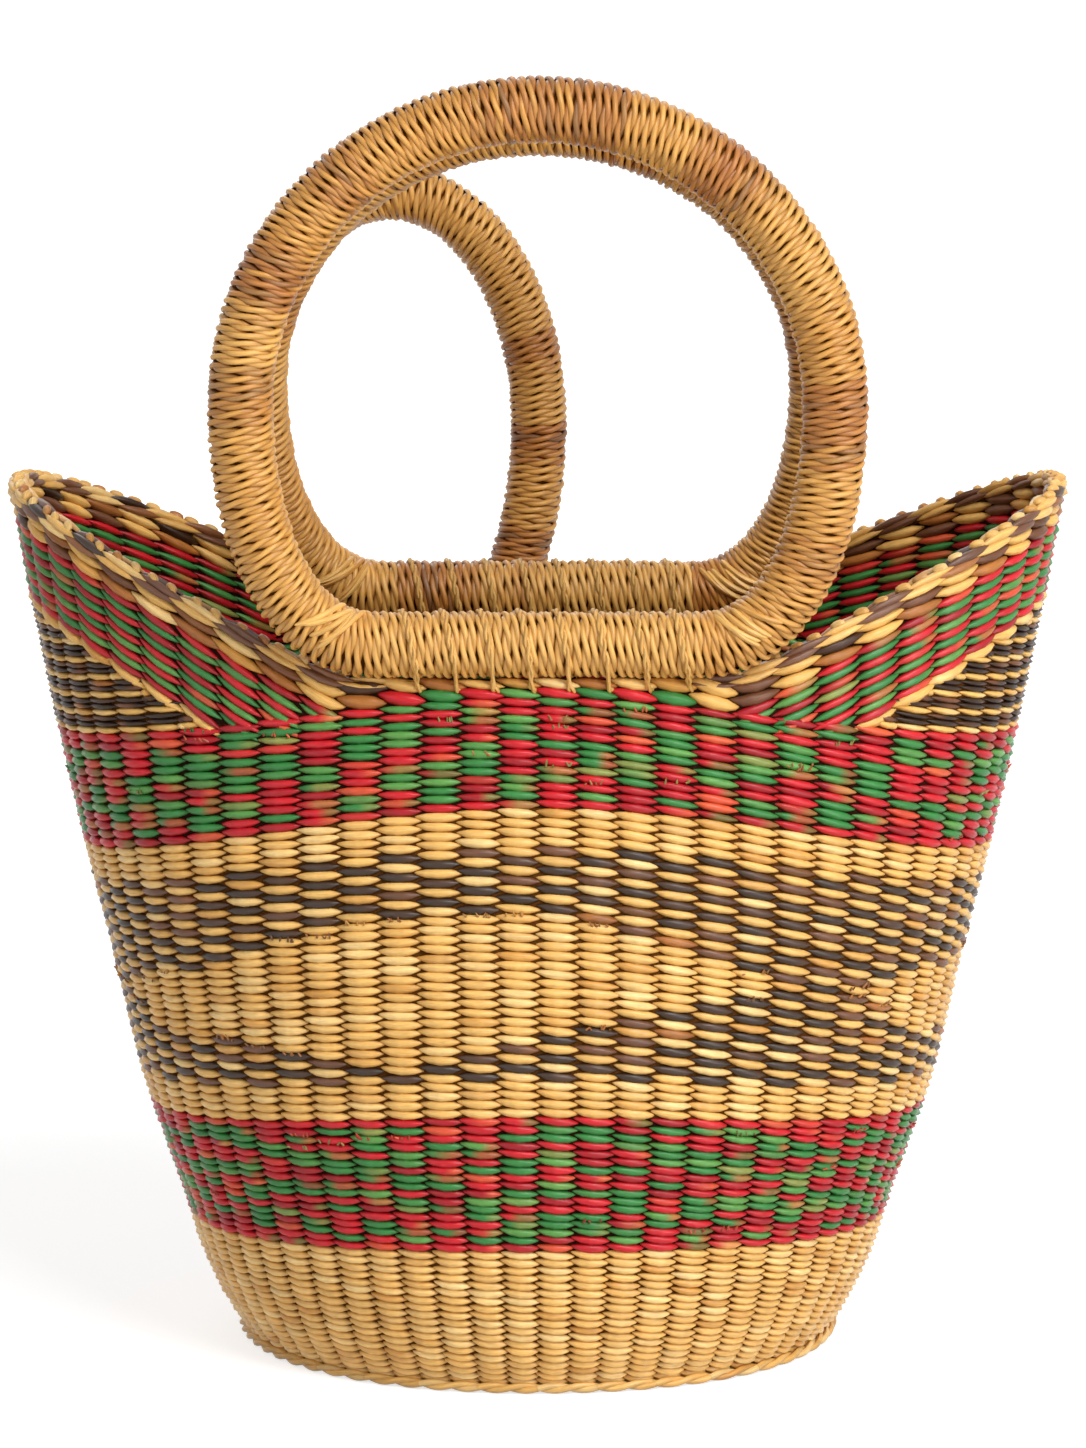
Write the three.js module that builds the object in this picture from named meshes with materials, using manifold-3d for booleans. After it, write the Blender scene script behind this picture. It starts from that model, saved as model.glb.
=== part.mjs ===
// A twined straw basket: an oval body with raised wings, two wrapped ring handles on the rim
// and a small wrapped hanging loop behind. Millimetres, +Z up, +Y away from the front.
import * as THREE from "three";
import { mergeVertices } from "three/addons/utils/BufferGeometryUtils.js";
import Module from "manifold-3d";

const wasm = await Module();
wasm.setup();

// Body sizes
const crestHeight = 277; // the rim between the wings, where the handles sit
const wingRise = 61; // the wing tips above that
const baseRadius = 107;
const tipReach = 202; // half width at the wing tips, to the middle of the weave
const bellyReach = 139.5; // half depth where the front bulges most
const weaveThickness = 6;
const baseThickness = 6;
const seamGap = 0.3; // between two pieces that touch

// Band edges at the front and back and at the two sides: heights for the lower band, and how far
// below the crest for the upper one
const lowerBandBottom = { front: 60.5, side: 51 };
const lowerBandTop = { front: 114, side: 96 };
const upperBandBottomFall = { front: 47, side: 80 };
const upperBandTopFall = { front: 6.5, side: 35 };
const wingBandHeight = 42; // the crest down to the striped wedge
const rimRowHeight = 7;
const braidHeight = 6.5;
const braidThickness = 9;
const braidSeat = 0.6; // under the braid
const leastWedge = 1;

// Warp stakes, which run from the hub in the base up inside the weave
const stakeCount = 64;
const stakeThickness = 1.6;
const stakeTopCover = 14; // weave above the stake ends
const stakeClearance = 1.3; // in the wall, on each side
const baseClearance = 0.6;
const hubRadius = 22;
const hubOverlap = 4;
const hubSwell = 0.4;
const bendInset = 3; // where the stakes start to turn up, inside the base radius
const bendHeight = 4.5;

// Foot rope round the edge of the base
const footRopeRadius = 2.1;
const footRopeOut = 6.8; // its middle, from the middle of the weave

// Ring handles
const handle = {
  halfWidth: 111.4,
  upperHeight: 111.4,
  drop: 90.8, // the ring's middle above its bar
  straight: 62,
  cornerPull: 92,
  limbPull: 38,
  wrapRadius: 12.8,
  coreRadius: 9,
  cornerSteps: 6,
  hoopSteps: 14,
};
const loop = {
  halfWidth: 59.4,
  upperHeight: 93.6,
  drop: 88,
  straight: 24,
  cornerPull: 45,
  limbPull: 45,
  wrapRadius: 11.7,
  coreRadius: 8,
  cornerSteps: 4,
  hoopSteps: 12,
};
const wrapClearance = 0.6; // the core inside its wrap
const coreSplice = 1; // between the two cut ends of a bent core
const frontBarReach = 7; // the front bar's middle, beyond the base radius
const rearBarInset = 16; // the rear bar's middle, within the base radius
const rearBarFall = 0.4; // and below the crest
const rearLean = THREE.MathUtils.degToRad(16.5); // inward, as it stands
const loopBarFall = 27; // the loop's bar, below the crest
const loopColumn = 4; // the column seam that the loop's bar is centred on
const loopStandoff = 1; // off the wall at the bar's nearer end

// Lashing cord
const cordRadius = 1.1;
const cordSlack = 1.3; // between the cord and the bar it holds
const tunnelClearance = 0.35;
const weaveHold = 4.3; // from the top of the rim down to the middle of the front cord
const rearHold = 13;
const loopBend = 2.6; // the loop's cord, bending inside the wall
const handleTurns = 8;
const loopTurns = 2;

// Shapes of the body, as shares of the sizes above
const profileHeightShares = [0, 0.012, 0.036, 0.089, 0.178, 0.297, 0.445, 0.593, 0.742, 0.82, 0.89, 1];
const widthShares = [0, 0.05, 0.115, 0.215, 0.32, 0.465, 0.59, 0.72, 0.835, 0.89, 0.94, 1];
const depthShares = [0, 0.15, 0.34, 0.57, 0.78, 0.97, 1, 0.8, 0.49, 0.3, 0.16, -0.03];
const squarenessShare = 0.025;
const wingStartShare = Math.sin(THREE.MathUtils.degToRad(25));
const wingCurve = 1.4;
const turnedUpShare = 0.25; // where the wall has turned up, within the first band
const leafMiddleShare = 0.5;
const stakeMiddleShare = 0.5;
const stakeWidthShare = 0.2; // of a facet, which spans two columns
const webShare = 0.12; // of a facet, between two pockets
const crownShare = 0.35; // how far the braid's top is rounded in

// Counts
const facets = stakeCount / 2;
const facetsPerPocket = 4;
const wrapSides = 8;
const coreSides = 6;
const cordSides = 5;
const cordSteps = 12;
const ropeSides = 5;

const wingHeight = crestHeight + wingRise;
const halfWeave = weaveThickness / 2;
const straw = { color: 0xd8ae68, roughness: 0.55, metalness: 0 };
const paleStraw = { color: 0xe2bd7c, roughness: 0.5, metalness: 0 };
const dyedRed = { color: 0xb3282c, roughness: 0.45, metalness: 0 };
const dyedBrown = { color: 0x5a4536, roughness: 0.5, metalness: 0 };
const cane = { color: 0xb08a50, roughness: 0.7, metalness: 0 };
const basket = new THREE.Group();

// A smooth curve through a table of shares, with no overshoot at the ends
function alongShares(x, xs, ys) {
  const last = xs.length - 1;
  const slope = (i) => (ys[i + 1] - ys[i]) / (xs[i + 1] - xs[i]);
  const tangent = (i) => {
    if (i === 0) return slope(0);
    if (i === last) return slope(last - 1);
    const before = xs[i] - xs[i - 1];
    const after = xs[i + 1] - xs[i];
    return (slope(i - 1) * after + slope(i) * before) / (before + after);
  };
  let i = 0;
  while (i < last - 1 && x >= xs[i + 1]) i += 1;
  const span = xs[i + 1] - xs[i];
  const t = (x - xs[i]) / span;
  const rise = ys[i] * (2 * t ** 3 - 3 * t ** 2 + 1) + ys[i + 1] * (3 * t ** 2 - 2 * t ** 3);
  return rise + span * (tangent(i) * (t ** 3 - 2 * t ** 2 + t) + tangent(i + 1) * (t ** 3 - t ** 2));
}

const halfWidthAt = (z) =>
  baseRadius + (tipReach - baseRadius) * alongShares(z / wingHeight, profileHeightShares, widthShares);
const halfDepthAt = (z) =>
  baseRadius + (bellyReach - baseRadius) * alongShares(z / wingHeight, profileHeightShares, depthShares);

// A point of the wall. Column 0 faces the front, and columns keep equal spacing round the oval.
function wallPoint(column, z, out = 0) {
  const width = halfWidthAt(z);
  const depth = halfDepthAt(z);
  const evening = (width - depth) / (width + depth) / 2;
  const angle = (column / facets) * 2 * Math.PI;
  const turn = angle - evening * Math.sin(2 * angle);
  const swell = 1 + squarenessShare * Math.sin(2 * turn) ** 2;
  const x = (width * swell + out) * Math.sin(turn);
  const y = -(depth * swell + out) * Math.cos(turn);
  return new THREE.Vector3(x, y, z);
}

// Between the facets' corners a surface is straight, so points there are mixed from the corners.
function onFacet(column, at) {
  const low = Math.floor(column);
  const share = column - low;
  return share === 0 ? at(low) : at(low).lerp(at(low + 1), share);
}

const sineAt = (column) => Math.abs(Math.sin((column / facets) * 2 * Math.PI));
const bandEdge = (band) => (column) => band.side + (band.front - band.side) * (1 - sineAt(column) ** 2);
const lowerBottomAt = bandEdge(lowerBandBottom);
const lowerTopAt = bandEdge(lowerBandTop);
const edgeBelowCrest = (fall) => (column) => crestHeight - bandEdge(fall)(column);
const upperBottomAt = edgeBelowCrest(upperBandBottomFall);
const upperTopAt = edgeBelowCrest(upperBandTopFall);

function crestAt(column) {
  const share = Math.max(0, (sineAt(column) - wingStartShare) / (1 - wingStartShare));
  return crestHeight + wingRise * share ** wingCurve;
}

// The wings' own pieces start a few facets from the front and the back.
const wingBandStart = 2;
const wedgeStart = 3;
const braidStart = 3;
function facetsFromMiddle(column) {
  const onSide = Math.abs(column) % (facets / 2);
  return Math.min(onSide, facets / 2 - onSide);
}

const rimRowTopAt = (column) =>
  crestAt(column) - (facetsFromMiddle(column) >= braidStart ? braidHeight : 0);
const wedgeTopAt = (column) =>
  Math.max(crestAt(column) - wingBandHeight, upperTopAt(column) + leastWedge);
const wingLowAt = (column) =>
  (facetsFromMiddle(column) >= wedgeStart ? wedgeTopAt(column) : upperTopAt(column)) + seamGap;
const wingBandTopAt = (column) =>
  Math.max(crestAt(column) - braidHeight - rimRowHeight, wingLowAt(column) + leastWedge);
const rimRowLowAt = (column) =>
  facetsFromMiddle(column) >= wingBandStart ? wingBandTopAt(column) : upperTopAt(column);
const stakeTopAt = (column) => rimRowTopAt(column) - stakeTopCover;

// Solids
function toSolid(geometry) {
  const bare = geometry.index ? geometry.clone() : geometry;
  bare.deleteAttribute("normal");
  bare.deleteAttribute("uv");
  const merged = mergeVertices(bare);
  const mesh = new wasm.Mesh({
    numProp: 3,
    vertProperties: new Float32Array(merged.attributes.position.array),
    triVerts: new Uint32Array(merged.index.array),
  });
  const solid = new wasm.Manifold(mesh);
  return solid.volume() < 0 ? flipped(merged) : solid;
}

function flipped(geometry) {
  const index = Array.from(geometry.index.array);
  for (let i = 0; i < index.length; i += 3) {
    [index[i + 1], index[i + 2]] = [index[i + 2], index[i + 1]];
  }
  return new wasm.Manifold(
    new wasm.Mesh({
      numProp: 3,
      vertProperties: new Float32Array(geometry.attributes.position.array),
      triVerts: new Uint32Array(index),
    }),
  );
}

// One closed body swept through cross-sections with the same number of points
function sweep(sections, closed = false) {
  const count = sections[0].length;
  const index = [];
  const last = closed ? sections.length : sections.length - 1;
  for (let s = 0; s < last; s += 1) {
    const here = s * count;
    const next = ((s + 1) % sections.length) * count;
    for (let i = 0; i < count; i += 1) {
      const j = (i + 1) % count;
      index.push(here + i, here + j, next + j, here + i, next + j, next + i);
    }
  }
  if (!closed) {
    const end = (sections.length - 1) * count;
    const cap = THREE.ShapeUtils.triangulateShape(flatOutline(sections[0]), []);
    const endCap = THREE.ShapeUtils.triangulateShape(flatOutline(sections.at(-1)), []);
    cap.forEach(([a, b, c]) => index.push(a, c, b));
    endCap.forEach(([a, b, c]) => index.push(end + a, end + b, end + c));
  }
  return indexedSolid(sections.flat(), index);
}

// A cross-section laid flat, so that its cap can be cut into triangles
function flatOutline(points, outlineCount = points.length) {
  const across = points[1].clone().sub(points[0]).normalize();
  const normal = new THREE.Vector3();
  for (let i = 0; i < outlineCount; i += 1) {
    normal.add(points[i].clone().cross(points[(i + 1) % outlineCount]));
  }
  normal.normalize();
  const up = normal.clone().cross(across);
  return points.map((p) => new THREE.Vector2(p.dot(across), p.dot(up)));
}

function add(name, solid, finish) {
  const made = solid.getMesh();
  const geometry = new THREE.BufferGeometry();
  geometry.setAttribute("position", new THREE.BufferAttribute(made.vertProperties, 3));
  geometry.setIndex(new THREE.BufferAttribute(made.triVerts, 1));
  geometry.computeVertexNormals();
  const mesh = new THREE.Mesh(geometry, new THREE.MeshStandardMaterial(finish));
  mesh.name = name;
  basket.add(mesh);
}

const rangeOf = (from, to, step = 1) => {
  const count = Math.round((to - from) / step);
  return Array.from({ length: count + 1 }, (_, i) => from + i * step);
};

// A line up the wall, through a band's edges
function alongWall(column, edges, out) {
  return edges.map((edge) => onFacet(column, (c) => wallPoint(c, edge(c), out)));
}

// Warp stakes run in pockets inside the weave. A web of weave stands between two pockets, just
// past every few facet corners.
const bendRadius = baseRadius - bendInset;
const pocketHalf = stakeThickness / 2 + stakeClearance;
const overrun = 1;

function bandColumns(from, to) {
  return rangeOf(from, to).flatMap((c) => {
    const atWeb = c % facetsPerPocket === 0;
    const here = { at: c, web: atWeb };
    return atWeb && c < to ? [here, { at: c + webShare, web: false }] : [here];
  });
}

// A band of weave with open pockets, built from four lines up the wall at each column
function pocketedBand(from, to, edges, closed) {
  const columns = bandColumns(from, to);
  const levels = edges.length;
  const lines = [halfWeave, pocketHalf, -pocketHalf, -halfWeave];
  const points = columns.flatMap(({ at }) => lines.flatMap((out) => alongWall(at, edges, out)));
  const index = [];
  const quad = (a, b, c, d) => index.push(a, b, c, a, c, d);
  const vertex = (section, line, level) => (section * lines.length + line) * levels + level;
  const top = levels - 1;
  const [outer, pocketOuter, pocketInner, inner] = lines.keys();

  // Facing out or in, a line's quads are cut along the same diagonal, so that a skin stays even.
  const facing = (a, b, line, outward) => {
    for (let j = 0; j < top; j += 1) {
      const foot = [vertex(a, line, j), vertex(b, line, j)];
      const head = [vertex(a, line, j + 1), vertex(b, line, j + 1)];
      if (outward) quad(foot[0], foot[1], head[1], head[0]);
      else quad(foot[0], head[0], head[1], foot[1]);
    }
  };
  const edgeStrips = (a, b, one, two) => {
    quad(vertex(a, one, top), vertex(b, one, top), vertex(b, two, top), vertex(a, two, top));
    quad(vertex(a, one, 0), vertex(a, two, 0), vertex(b, two, 0), vertex(b, one, 0));
  };
  // A face across the band at one column, between two lines
  const across = (section, one, two) => {
    for (let j = 0; j < top; j += 1) {
      quad(
        vertex(section, one, j),
        vertex(section, one, j + 1),
        vertex(section, two, j + 1),
        vertex(section, two, j),
      );
    }
  };

  const spans = closed ? columns.length : columns.length - 1;
  for (let a = 0; a < spans; a += 1) {
    const b = (a + 1) % columns.length;
    facing(a, b, outer, true);
    facing(a, b, inner, false);
    edgeStrips(a, b, outer, pocketOuter);
    edgeStrips(a, b, pocketInner, inner);
    if (columns[a].web) {
      edgeStrips(a, b, pocketOuter, pocketInner);
      across(a, pocketOuter, pocketInner);
      across(b, pocketInner, pocketOuter);
    } else {
      facing(a, b, pocketOuter, false);
      facing(a, b, pocketInner, true);
    }
  }
  if (!closed) {
    across(0, outer, pocketOuter);
    across(0, pocketInner, inner);
    across(spans, pocketOuter, outer);
    across(spans, inner, pocketInner);
  }
  return indexedSolid(points, index);
}

function indexedSolid(points, index) {
  const geometry = new THREE.BufferGeometry();
  const flat = points.flatMap((p) => p.toArray());
  geometry.setAttribute("position", new THREE.Float32BufferAttribute(flat, 3));
  geometry.setIndex(index);
  return toSolid(geometry);
}

// The turn from the base into the wall
function bendPath(column, out) {
  const radial = (radius, z) => (c) => {
    const angle = (c / facets) * 2 * Math.PI;
    return new THREE.Vector3(radius * Math.sin(angle), -radius * Math.cos(angle), z);
  };
  const midBase = baseThickness / 2;
  const diagonal = Math.SQRT1_2 * out;
  const start = onFacet(column, radial(hubRadius - hubOverlap, midBase - out));
  const flat = onFacet(column, radial(bendRadius, midBase - out));
  const bend = onFacet(column, (c) => wallPoint(c, bendHeight, diagonal).setZ(bendHeight - diagonal));
  return [start, flat, bend];
}

const between = (low, high, share) => (column) => low(column) + (high(column) - low(column)) * share;
const above = (edge, distance = seamGap) => (column) => edge(column) + distance;
const firstRowAt = () => baseThickness + seamGap;
const turnedUpAt = between(firstRowAt, lowerBottomAt, turnedUpShare);
const leafMiddleAt = between(above(lowerTopAt), upperBottomAt, leafMiddleShare);

function hubSolid(radius, thickness) {
  const hub = new THREE.CylinderGeometry(radius, radius, thickness, facets);
  hub.rotateX(Math.PI / 2).translate(0, 0, baseThickness / 2);
  return toSolid(hub);
}

function stakes() {
  const half = stakeThickness / 2;
  const upperMiddleAt = between(upperBottomAt, stakeTopAt, stakeMiddleShare);
  const edges = [turnedUpAt, lowerBottomAt, lowerTopAt, leafMiddleAt, upperBottomAt];
  const wallEdges = [...edges, upperMiddleAt, stakeTopAt];
  const line = (column, out) => [...bendPath(column, out), ...alongWall(column, wallEdges, out)];
  const each = rangeOf(0, stakeCount - 1).map((i) => {
    const middle = (i + 0.5) / 2;
    const side = stakeWidthShare / 2;
    const lines = [line(middle - side, half), line(middle + side, half), line(middle, -half)];
    return sweep(lines[0].map((_, step) => lines.map((points) => points[step])));
  });
  return wasm.Manifold.union([hubSolid(hubRadius, stakeThickness + hubSwell), ...each]);
}

// Room for the stakes in the base
function baseRoom() {
  const edges = [above(() => baseThickness, overrun)];
  const line = (column, out) => [...bendPath(column, out), ...alongWall(column, edges, out)];
  const starts = rangeOf(0, facets - facetsPerPocket, facetsPerPocket);
  const half = stakeThickness / 2 + baseClearance;
  const pockets = starts.map((first) => {
    const columns = [first + webShare, ...rangeOf(first + 1, first + facetsPerPocket)];
    return sweep(columns.map((c) => [...line(c, half), ...line(c, -half).reverse()]));
  });
  const hub = hubSolid(hubRadius + baseClearance, 2 * half + hubSwell);
  return wasm.Manifold.union([hub, ...pockets]);
}

// The rim row is too shallow for stakes.
function rimRow(edges) {
  const sections = rangeOf(0, facets - 1).map((c) => [
    ...alongWall(c, edges, halfWeave),
    ...alongWall(c, edges, -halfWeave).reverse(),
  ]);
  return sweep(sections, true);
}

// The flat base, with a sloping edge that carries the wall
function baseWeft() {
  const columns = rangeOf(0, facets - 1);
  const edge = columns.flatMap((c) => [
    wallPoint(c, baseThickness, halfWeave),
    wallPoint(c, 0, halfWeave),
  ]);
  const points = [...edge, new THREE.Vector3(0, 0, 0), new THREE.Vector3(0, 0, baseThickness)];
  const [bottom, top] = [edge.length, edge.length + 1];
  const index = [];
  columns.forEach((c) => {
    const a = 2 * c;
    const b = (2 * (c + 1)) % edge.length;
    index.push(a, b, b + 1, a, b + 1, a + 1, a + 1, b + 1, bottom, b, a, top);
  });
  return indexedSolid(points, index);
}

function footRope() {
  const sections = rangeOf(0, facets - 1).map((c) =>
    rangeOf(0, ropeSides - 1).map((i) => {
      const turn = (i / ropeSides) * 2 * Math.PI;
      const z = footRopeRadius * (1 + Math.sin(turn)) + seamGap;
      const out = footRopeOut + footRopeRadius * Math.cos(turn);
      return wallPoint(c, footRopeRadius, out).setZ(z);
    }),
  );
  return sweep(sections, true);
}

// The braid on a wing's edge, with a rounded crown
function braid(side) {
  const half = braidThickness / 2;
  const crown = half * crownShare;
  const columns = rangeOf(braidStart, facets / 2 - braidStart);
  const sections = columns.map((column) => {
    const at = (z, out) => wallPoint(side * column, z, out);
    const low = rimRowTopAt(column) + braidSeat;
    const high = crestAt(column);
    const shoulder = high - braidHeight * crownShare;
    const outside = [at(low, half), at(shoulder, half), at(high, crown)];
    return [...outside, at(high, -crown), at(shoulder, -half), at(low, -half)];
  });
  return sweep(sections);
}

// A ring lies in one plane: a flat bar, two tight corners and a round hoop. Its stations run
// from the middle of the bar over the left corner, each with its direction.
function ringStations(ring) {
  const { straight, cornerPull, limbPull, halfWidth, upperHeight, drop } = ring;
  const corner = new THREE.CubicBezierCurve(
    new THREE.Vector2(-straight, 0),
    new THREE.Vector2(-cornerPull, 0),
    new THREE.Vector2(-halfWidth, limbPull),
    new THREE.Vector2(-halfWidth, drop),
  );
  const arch = new THREE.EllipseCurve(0, drop, halfWidth, upperHeight, Math.PI, 0, true);
  const along = (curve, count) =>
    rangeOf(0, count).map((i) => ({
      at: curve.getPointAt(i / count),
      ahead: curve.getTangentAt(i / count),
    }));
  const left = along(corner, ring.cornerSteps);
  const hoop = along(arch, ring.hoopSteps);
  const right = left.toReversed().map(({ at, ahead }) => ({
    at: new THREE.Vector2(-at.x, at.y),
    ahead: new THREE.Vector2(ahead.x, -ahead.y),
  }));
  return { left, hoop, right };
}

function ringSections(stations, radius, sides, place, lean) {
  return stations.map(({ at, ahead }) =>
    rangeOf(0, sides - 1).map((i) => {
      const turn = (i / sides) * 2 * Math.PI;
      const across = radius * Math.cos(turn);
      const depth = radius * Math.sin(turn);
      const x = at.x - ahead.y * across;
      const height = at.y + ahead.x * across;
      const y = depth * Math.cos(lean) - height * Math.sin(lean);
      const z = height * Math.cos(lean) + depth * Math.sin(lean);
      return new THREE.Vector3(x, y, z).add(place);
    }),
  );
}

// A sleeve, from the sections of its outside and of its bore
function sleeve(outside, bore) {
  const points = [...outside.flat(), ...bore.flat()];
  const [many, few] = [outside[0].length, bore[0].length];
  const boreStart = outside.length * many;
  const index = [];
  const skin = (start, count, inward) => {
    for (let s = 0; s < outside.length - 1; s += 1) {
      for (let i = 0; i < count; i += 1) {
        const j = (i + 1) % count;
        const [a, b] = inward ? [j, i] : [i, j];
        const here = start + s * count;
        const next = here + count;
        index.push(here + a, here + b, next + b, here + a, next + b, next + a);
      }
    }
  };
  skin(0, many, false);
  skin(boreStart, few, true);
  const ends = [0, outside.length - 1].map((s) => {
    const ids = [...outside[s].keys()].map((i) => s * many + i);
    const holeIds = [...bore[s].keys()].map((i) => boreStart + s * few + i);
    const flat = flatOutline([...outside[s], ...bore[s]], many);
    const faces = THREE.ShapeUtils.triangulateShape(flat.slice(0, many), [flat.slice(many)]);
    return faces.map((face) => face.map((i) => [...ids, ...holeIds][i]));
  });
  ends[0].forEach(([a, b, c]) => index.push(a, c, b));
  ends[1].forEach(([a, b, c]) => index.push(a, b, c));
  return indexedSolid(points, index);
}

// A station moved along its own direction
const slid = ({ at, ahead }, distance) => ({ at: at.clone().addScaledVector(ahead, distance), ahead });
const trimmed = (stations, distance) => [
  slid(stations[0], distance),
  ...stations.slice(1, -1),
  slid(stations.at(-1), -distance),
];

function ringPieces(prefix, ring, place, lean) {
  const { left, hoop, right } = ringStations(ring);
  const middle = { at: new THREE.Vector2(0, 0), ahead: new THREE.Vector2(-1, 0) };
  const around = [...left, ...hoop.slice(1, -1), ...right];
  const core = [slid(middle, coreSplice / 2), ...around, slid(middle, -coreSplice / 2)];
  const coreSections = ringSections(core, ring.coreRadius, coreSides, place, lean);
  add(`${prefix}_core`, sweep(coreSections), cane);

  const wrap = (name, stations, finish) => {
    const whole = trimmed(stations, seamGap / 2);
    const outside = ringSections(whole, ring.wrapRadius, wrapSides, place, lean);
    const bore = ringSections(whole, ring.coreRadius + wrapClearance, coreSides, place, lean);
    add(`${prefix}_${name}`, sleeve(outside, bore), finish);
  };
  wrap("bar_wrap", [right.at(-1), left[0]], paleStraw);
  wrap("left_corner_wrap", left, straw);
  wrap("hoop_wrap", hoop, straw);
  wrap("right_corner_wrap", right, straw);
}

// The furthest point of two circles in one direction, which walks round the belt that holds both
function beltPoint(circles, direction) {
  const reach = ({ y, z, radius }) => y * direction.y + z * direction.z + radius;
  const [one, two] = circles;
  const far = reach(one) >= reach(two) ? one : two;
  return { y: far.y + far.radius * direction.y, z: far.z + far.radius * direction.z };
}

// An unbroken cord, wound round a bar and through the wall at each column seam
function cordPath({ belt, seam, turns, height, start }) {
  const points = rangeOf(0, turns * cordSteps).map((s) => {
    const turn = s / cordSteps;
    const angle = start + turn * 2 * Math.PI;
    const out = new THREE.Vector3(0, Math.cos(angle), Math.sin(angle));
    const { y, z } = beltPoint(belt(seam(turn)), out);
    const { x } = onFacet(seam(turn), (c) => wallPoint(c, height));
    return { at: new THREE.Vector3(x, y, z), out };
  });
  const tail = 2 * cordRadius;
  const end = points.at(-1);
  const ahead = ({ out }) => new THREE.Vector3(0, -out.z, out.y);
  const before = { at: points[0].at.clone().addScaledVector(ahead(points[0]), -tail), out: points[0].out };
  const after = { at: end.at.clone().addScaledVector(ahead(end), tail), out: end.out };
  return [before, ...points, after];
}

function cordSolid(path, radius) {
  const sections = path.map(({ at, out }) =>
    rangeOf(0, cordSides - 1).map((i) => {
      const turn = (i / cordSides) * 2 * Math.PI;
      const around = out.clone().multiplyScalar(Math.cos(turn));
      around.x += Math.sin(turn);
      return at.clone().addScaledVector(around, radius);
    }),
  );
  return sweep(sections);
}

function leastGap(path) {
  let least = Infinity;
  path.forEach((p, i) => {
    path.slice(i + cordSteps / 2).forEach((q) => {
      least = Math.min(least, p.at.distanceTo(q.at) - 2 * cordRadius);
    });
  });
  return least;
}

// Where the three rings stand
const frontY = -(baseRadius + frontBarReach);
const frontPlace = new THREE.Vector3(0, frontY, crestHeight + handle.wrapRadius + seamGap);
const rearPlace = new THREE.Vector3(0, baseRadius - rearBarInset, crestHeight - rearBarFall);
const loopMiddle = facets / 2 + loopColumn / 2;
const loopHeight = crestHeight - loopBarFall;
const loopY = wallPoint(facets / 2, loopHeight, halfWeave + loopStandoff + loop.wrapRadius).y;
const loopPlace = new THREE.Vector3(wallPoint(loopMiddle, loopHeight).x, loopY, loopHeight);

// The cords that hold them, each round its bar and the weave beside it
const cordOff = cordRadius + tunnelClearance;
const barCircle = (ring, place) => ({
  y: place.y,
  z: place.z,
  radius: ring.wrapRadius + cordSlack + cordRadius,
});
const wallY = (column, z) => onFacet(column, (c) => wallPoint(c, z)).y;
function frontBelt(column) {
  const radius = halfWeave + cordOff;
  const z = crestHeight - weaveHold + radius;
  return [barCircle(handle, frontPlace), { y: wallY(column, crestHeight), z, radius }];
}

function rearBelt(column) {
  const off = cordRadius + cordSlack;
  const radius = (rearHold + off) / 2;
  const y = wallY(column, crestHeight - rearHold) + halfWeave + off - radius;
  return [barCircle(handle, rearPlace), { y, z: crestHeight + off - radius, radius }];
}

function loopBelt(column) {
  const y = wallY(column, loopHeight) - halfWeave - cordOff + loopBend;
  return [barCircle(loop, loopPlace), { y, z: loopHeight, radius: loopBend }];
}

const cords = [
  {
    name: "front_lashing",
    belt: frontBelt,
    seam: (turn) => (turn - handleTurns / 2) / 2,
    turns: handleTurns,
    height: crestHeight,
    start: -Math.PI / 2,
  },
  {
    name: "rear_lashing",
    belt: rearBelt,
    seam: (turn) => facets / 2 + (handleTurns / 2 - turn) / 2,
    turns: handleTurns,
    height: crestHeight,
    start: -Math.PI / 2,
  },
  {
    name: "loop_lashing",
    belt: loopBelt,
    seam: (turn) => loopMiddle + (loopTurns / 2 - turn) / 2,
    turns: loopTurns,
    height: loopHeight,
    start: Math.PI,
  },
];
const paths = cords.map(cordPath);
const tunnels = wasm.Manifold.union(paths.map((path) => cordSolid(path, cordOff)));
cords.forEach(({ name }, i) => {
  console.log(`${name}: least gap to itself ${leastGap(paths[i]).toFixed(2)} mm`);
});

// Base and wall
const ring = (...edges) => pocketedBand(0, facets - 1, edges, true);
add("base_weft", baseWeft().subtract(baseRoom()), paleStraw);
add("foot_rope", footRope(), straw);
add("warp_stakes", stakes(), cane);
add("lower_natural_weft", ring(firstRowAt, turnedUpAt, lowerBottomAt), paleStraw);
add("lower_red_green_weft", ring(above(lowerBottomAt), lowerTopAt), dyedRed);
add("leaf_pattern_weft", ring(above(lowerTopAt), leafMiddleAt, upperBottomAt), straw);
add("upper_red_green_weft", ring(above(upperBottomAt), upperTopAt).subtract(tunnels), dyedRed);
add("rim_row_weft", rimRow([above(rimRowLowAt), rimRowTopAt]).subtract(tunnels), dyedBrown);

// Wings
for (const [name, side, middle] of [
  ["left", -1, facets / 2],
  ["right", 1, 0],
]) {
  const wing = (start, ...edges) =>
    pocketedBand(middle + start, middle + facets / 2 - start, edges, false);
  add(`${name}_wing_striped_weft`, wing(wedgeStart, above(upperTopAt), wedgeTopAt), dyedBrown);
  add(`${name}_wing_red_green_weft`, wing(wingBandStart, wingLowAt, wingBandTopAt), dyedRed);
  add(`${name}_rim_braid`, braid(side), straw);
}

// Handles, hanging loop and their cords
ringPieces("front_handle", handle, frontPlace, 0);
ringPieces("rear_handle", handle, rearPlace, rearLean);
ringPieces("hanging_loop", loop, loopPlace, 0);
cords.forEach(({ name }, i) => add(name, cordSolid(paths[i], cordRadius), paleStraw));

export default basket;
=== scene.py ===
import math

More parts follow.
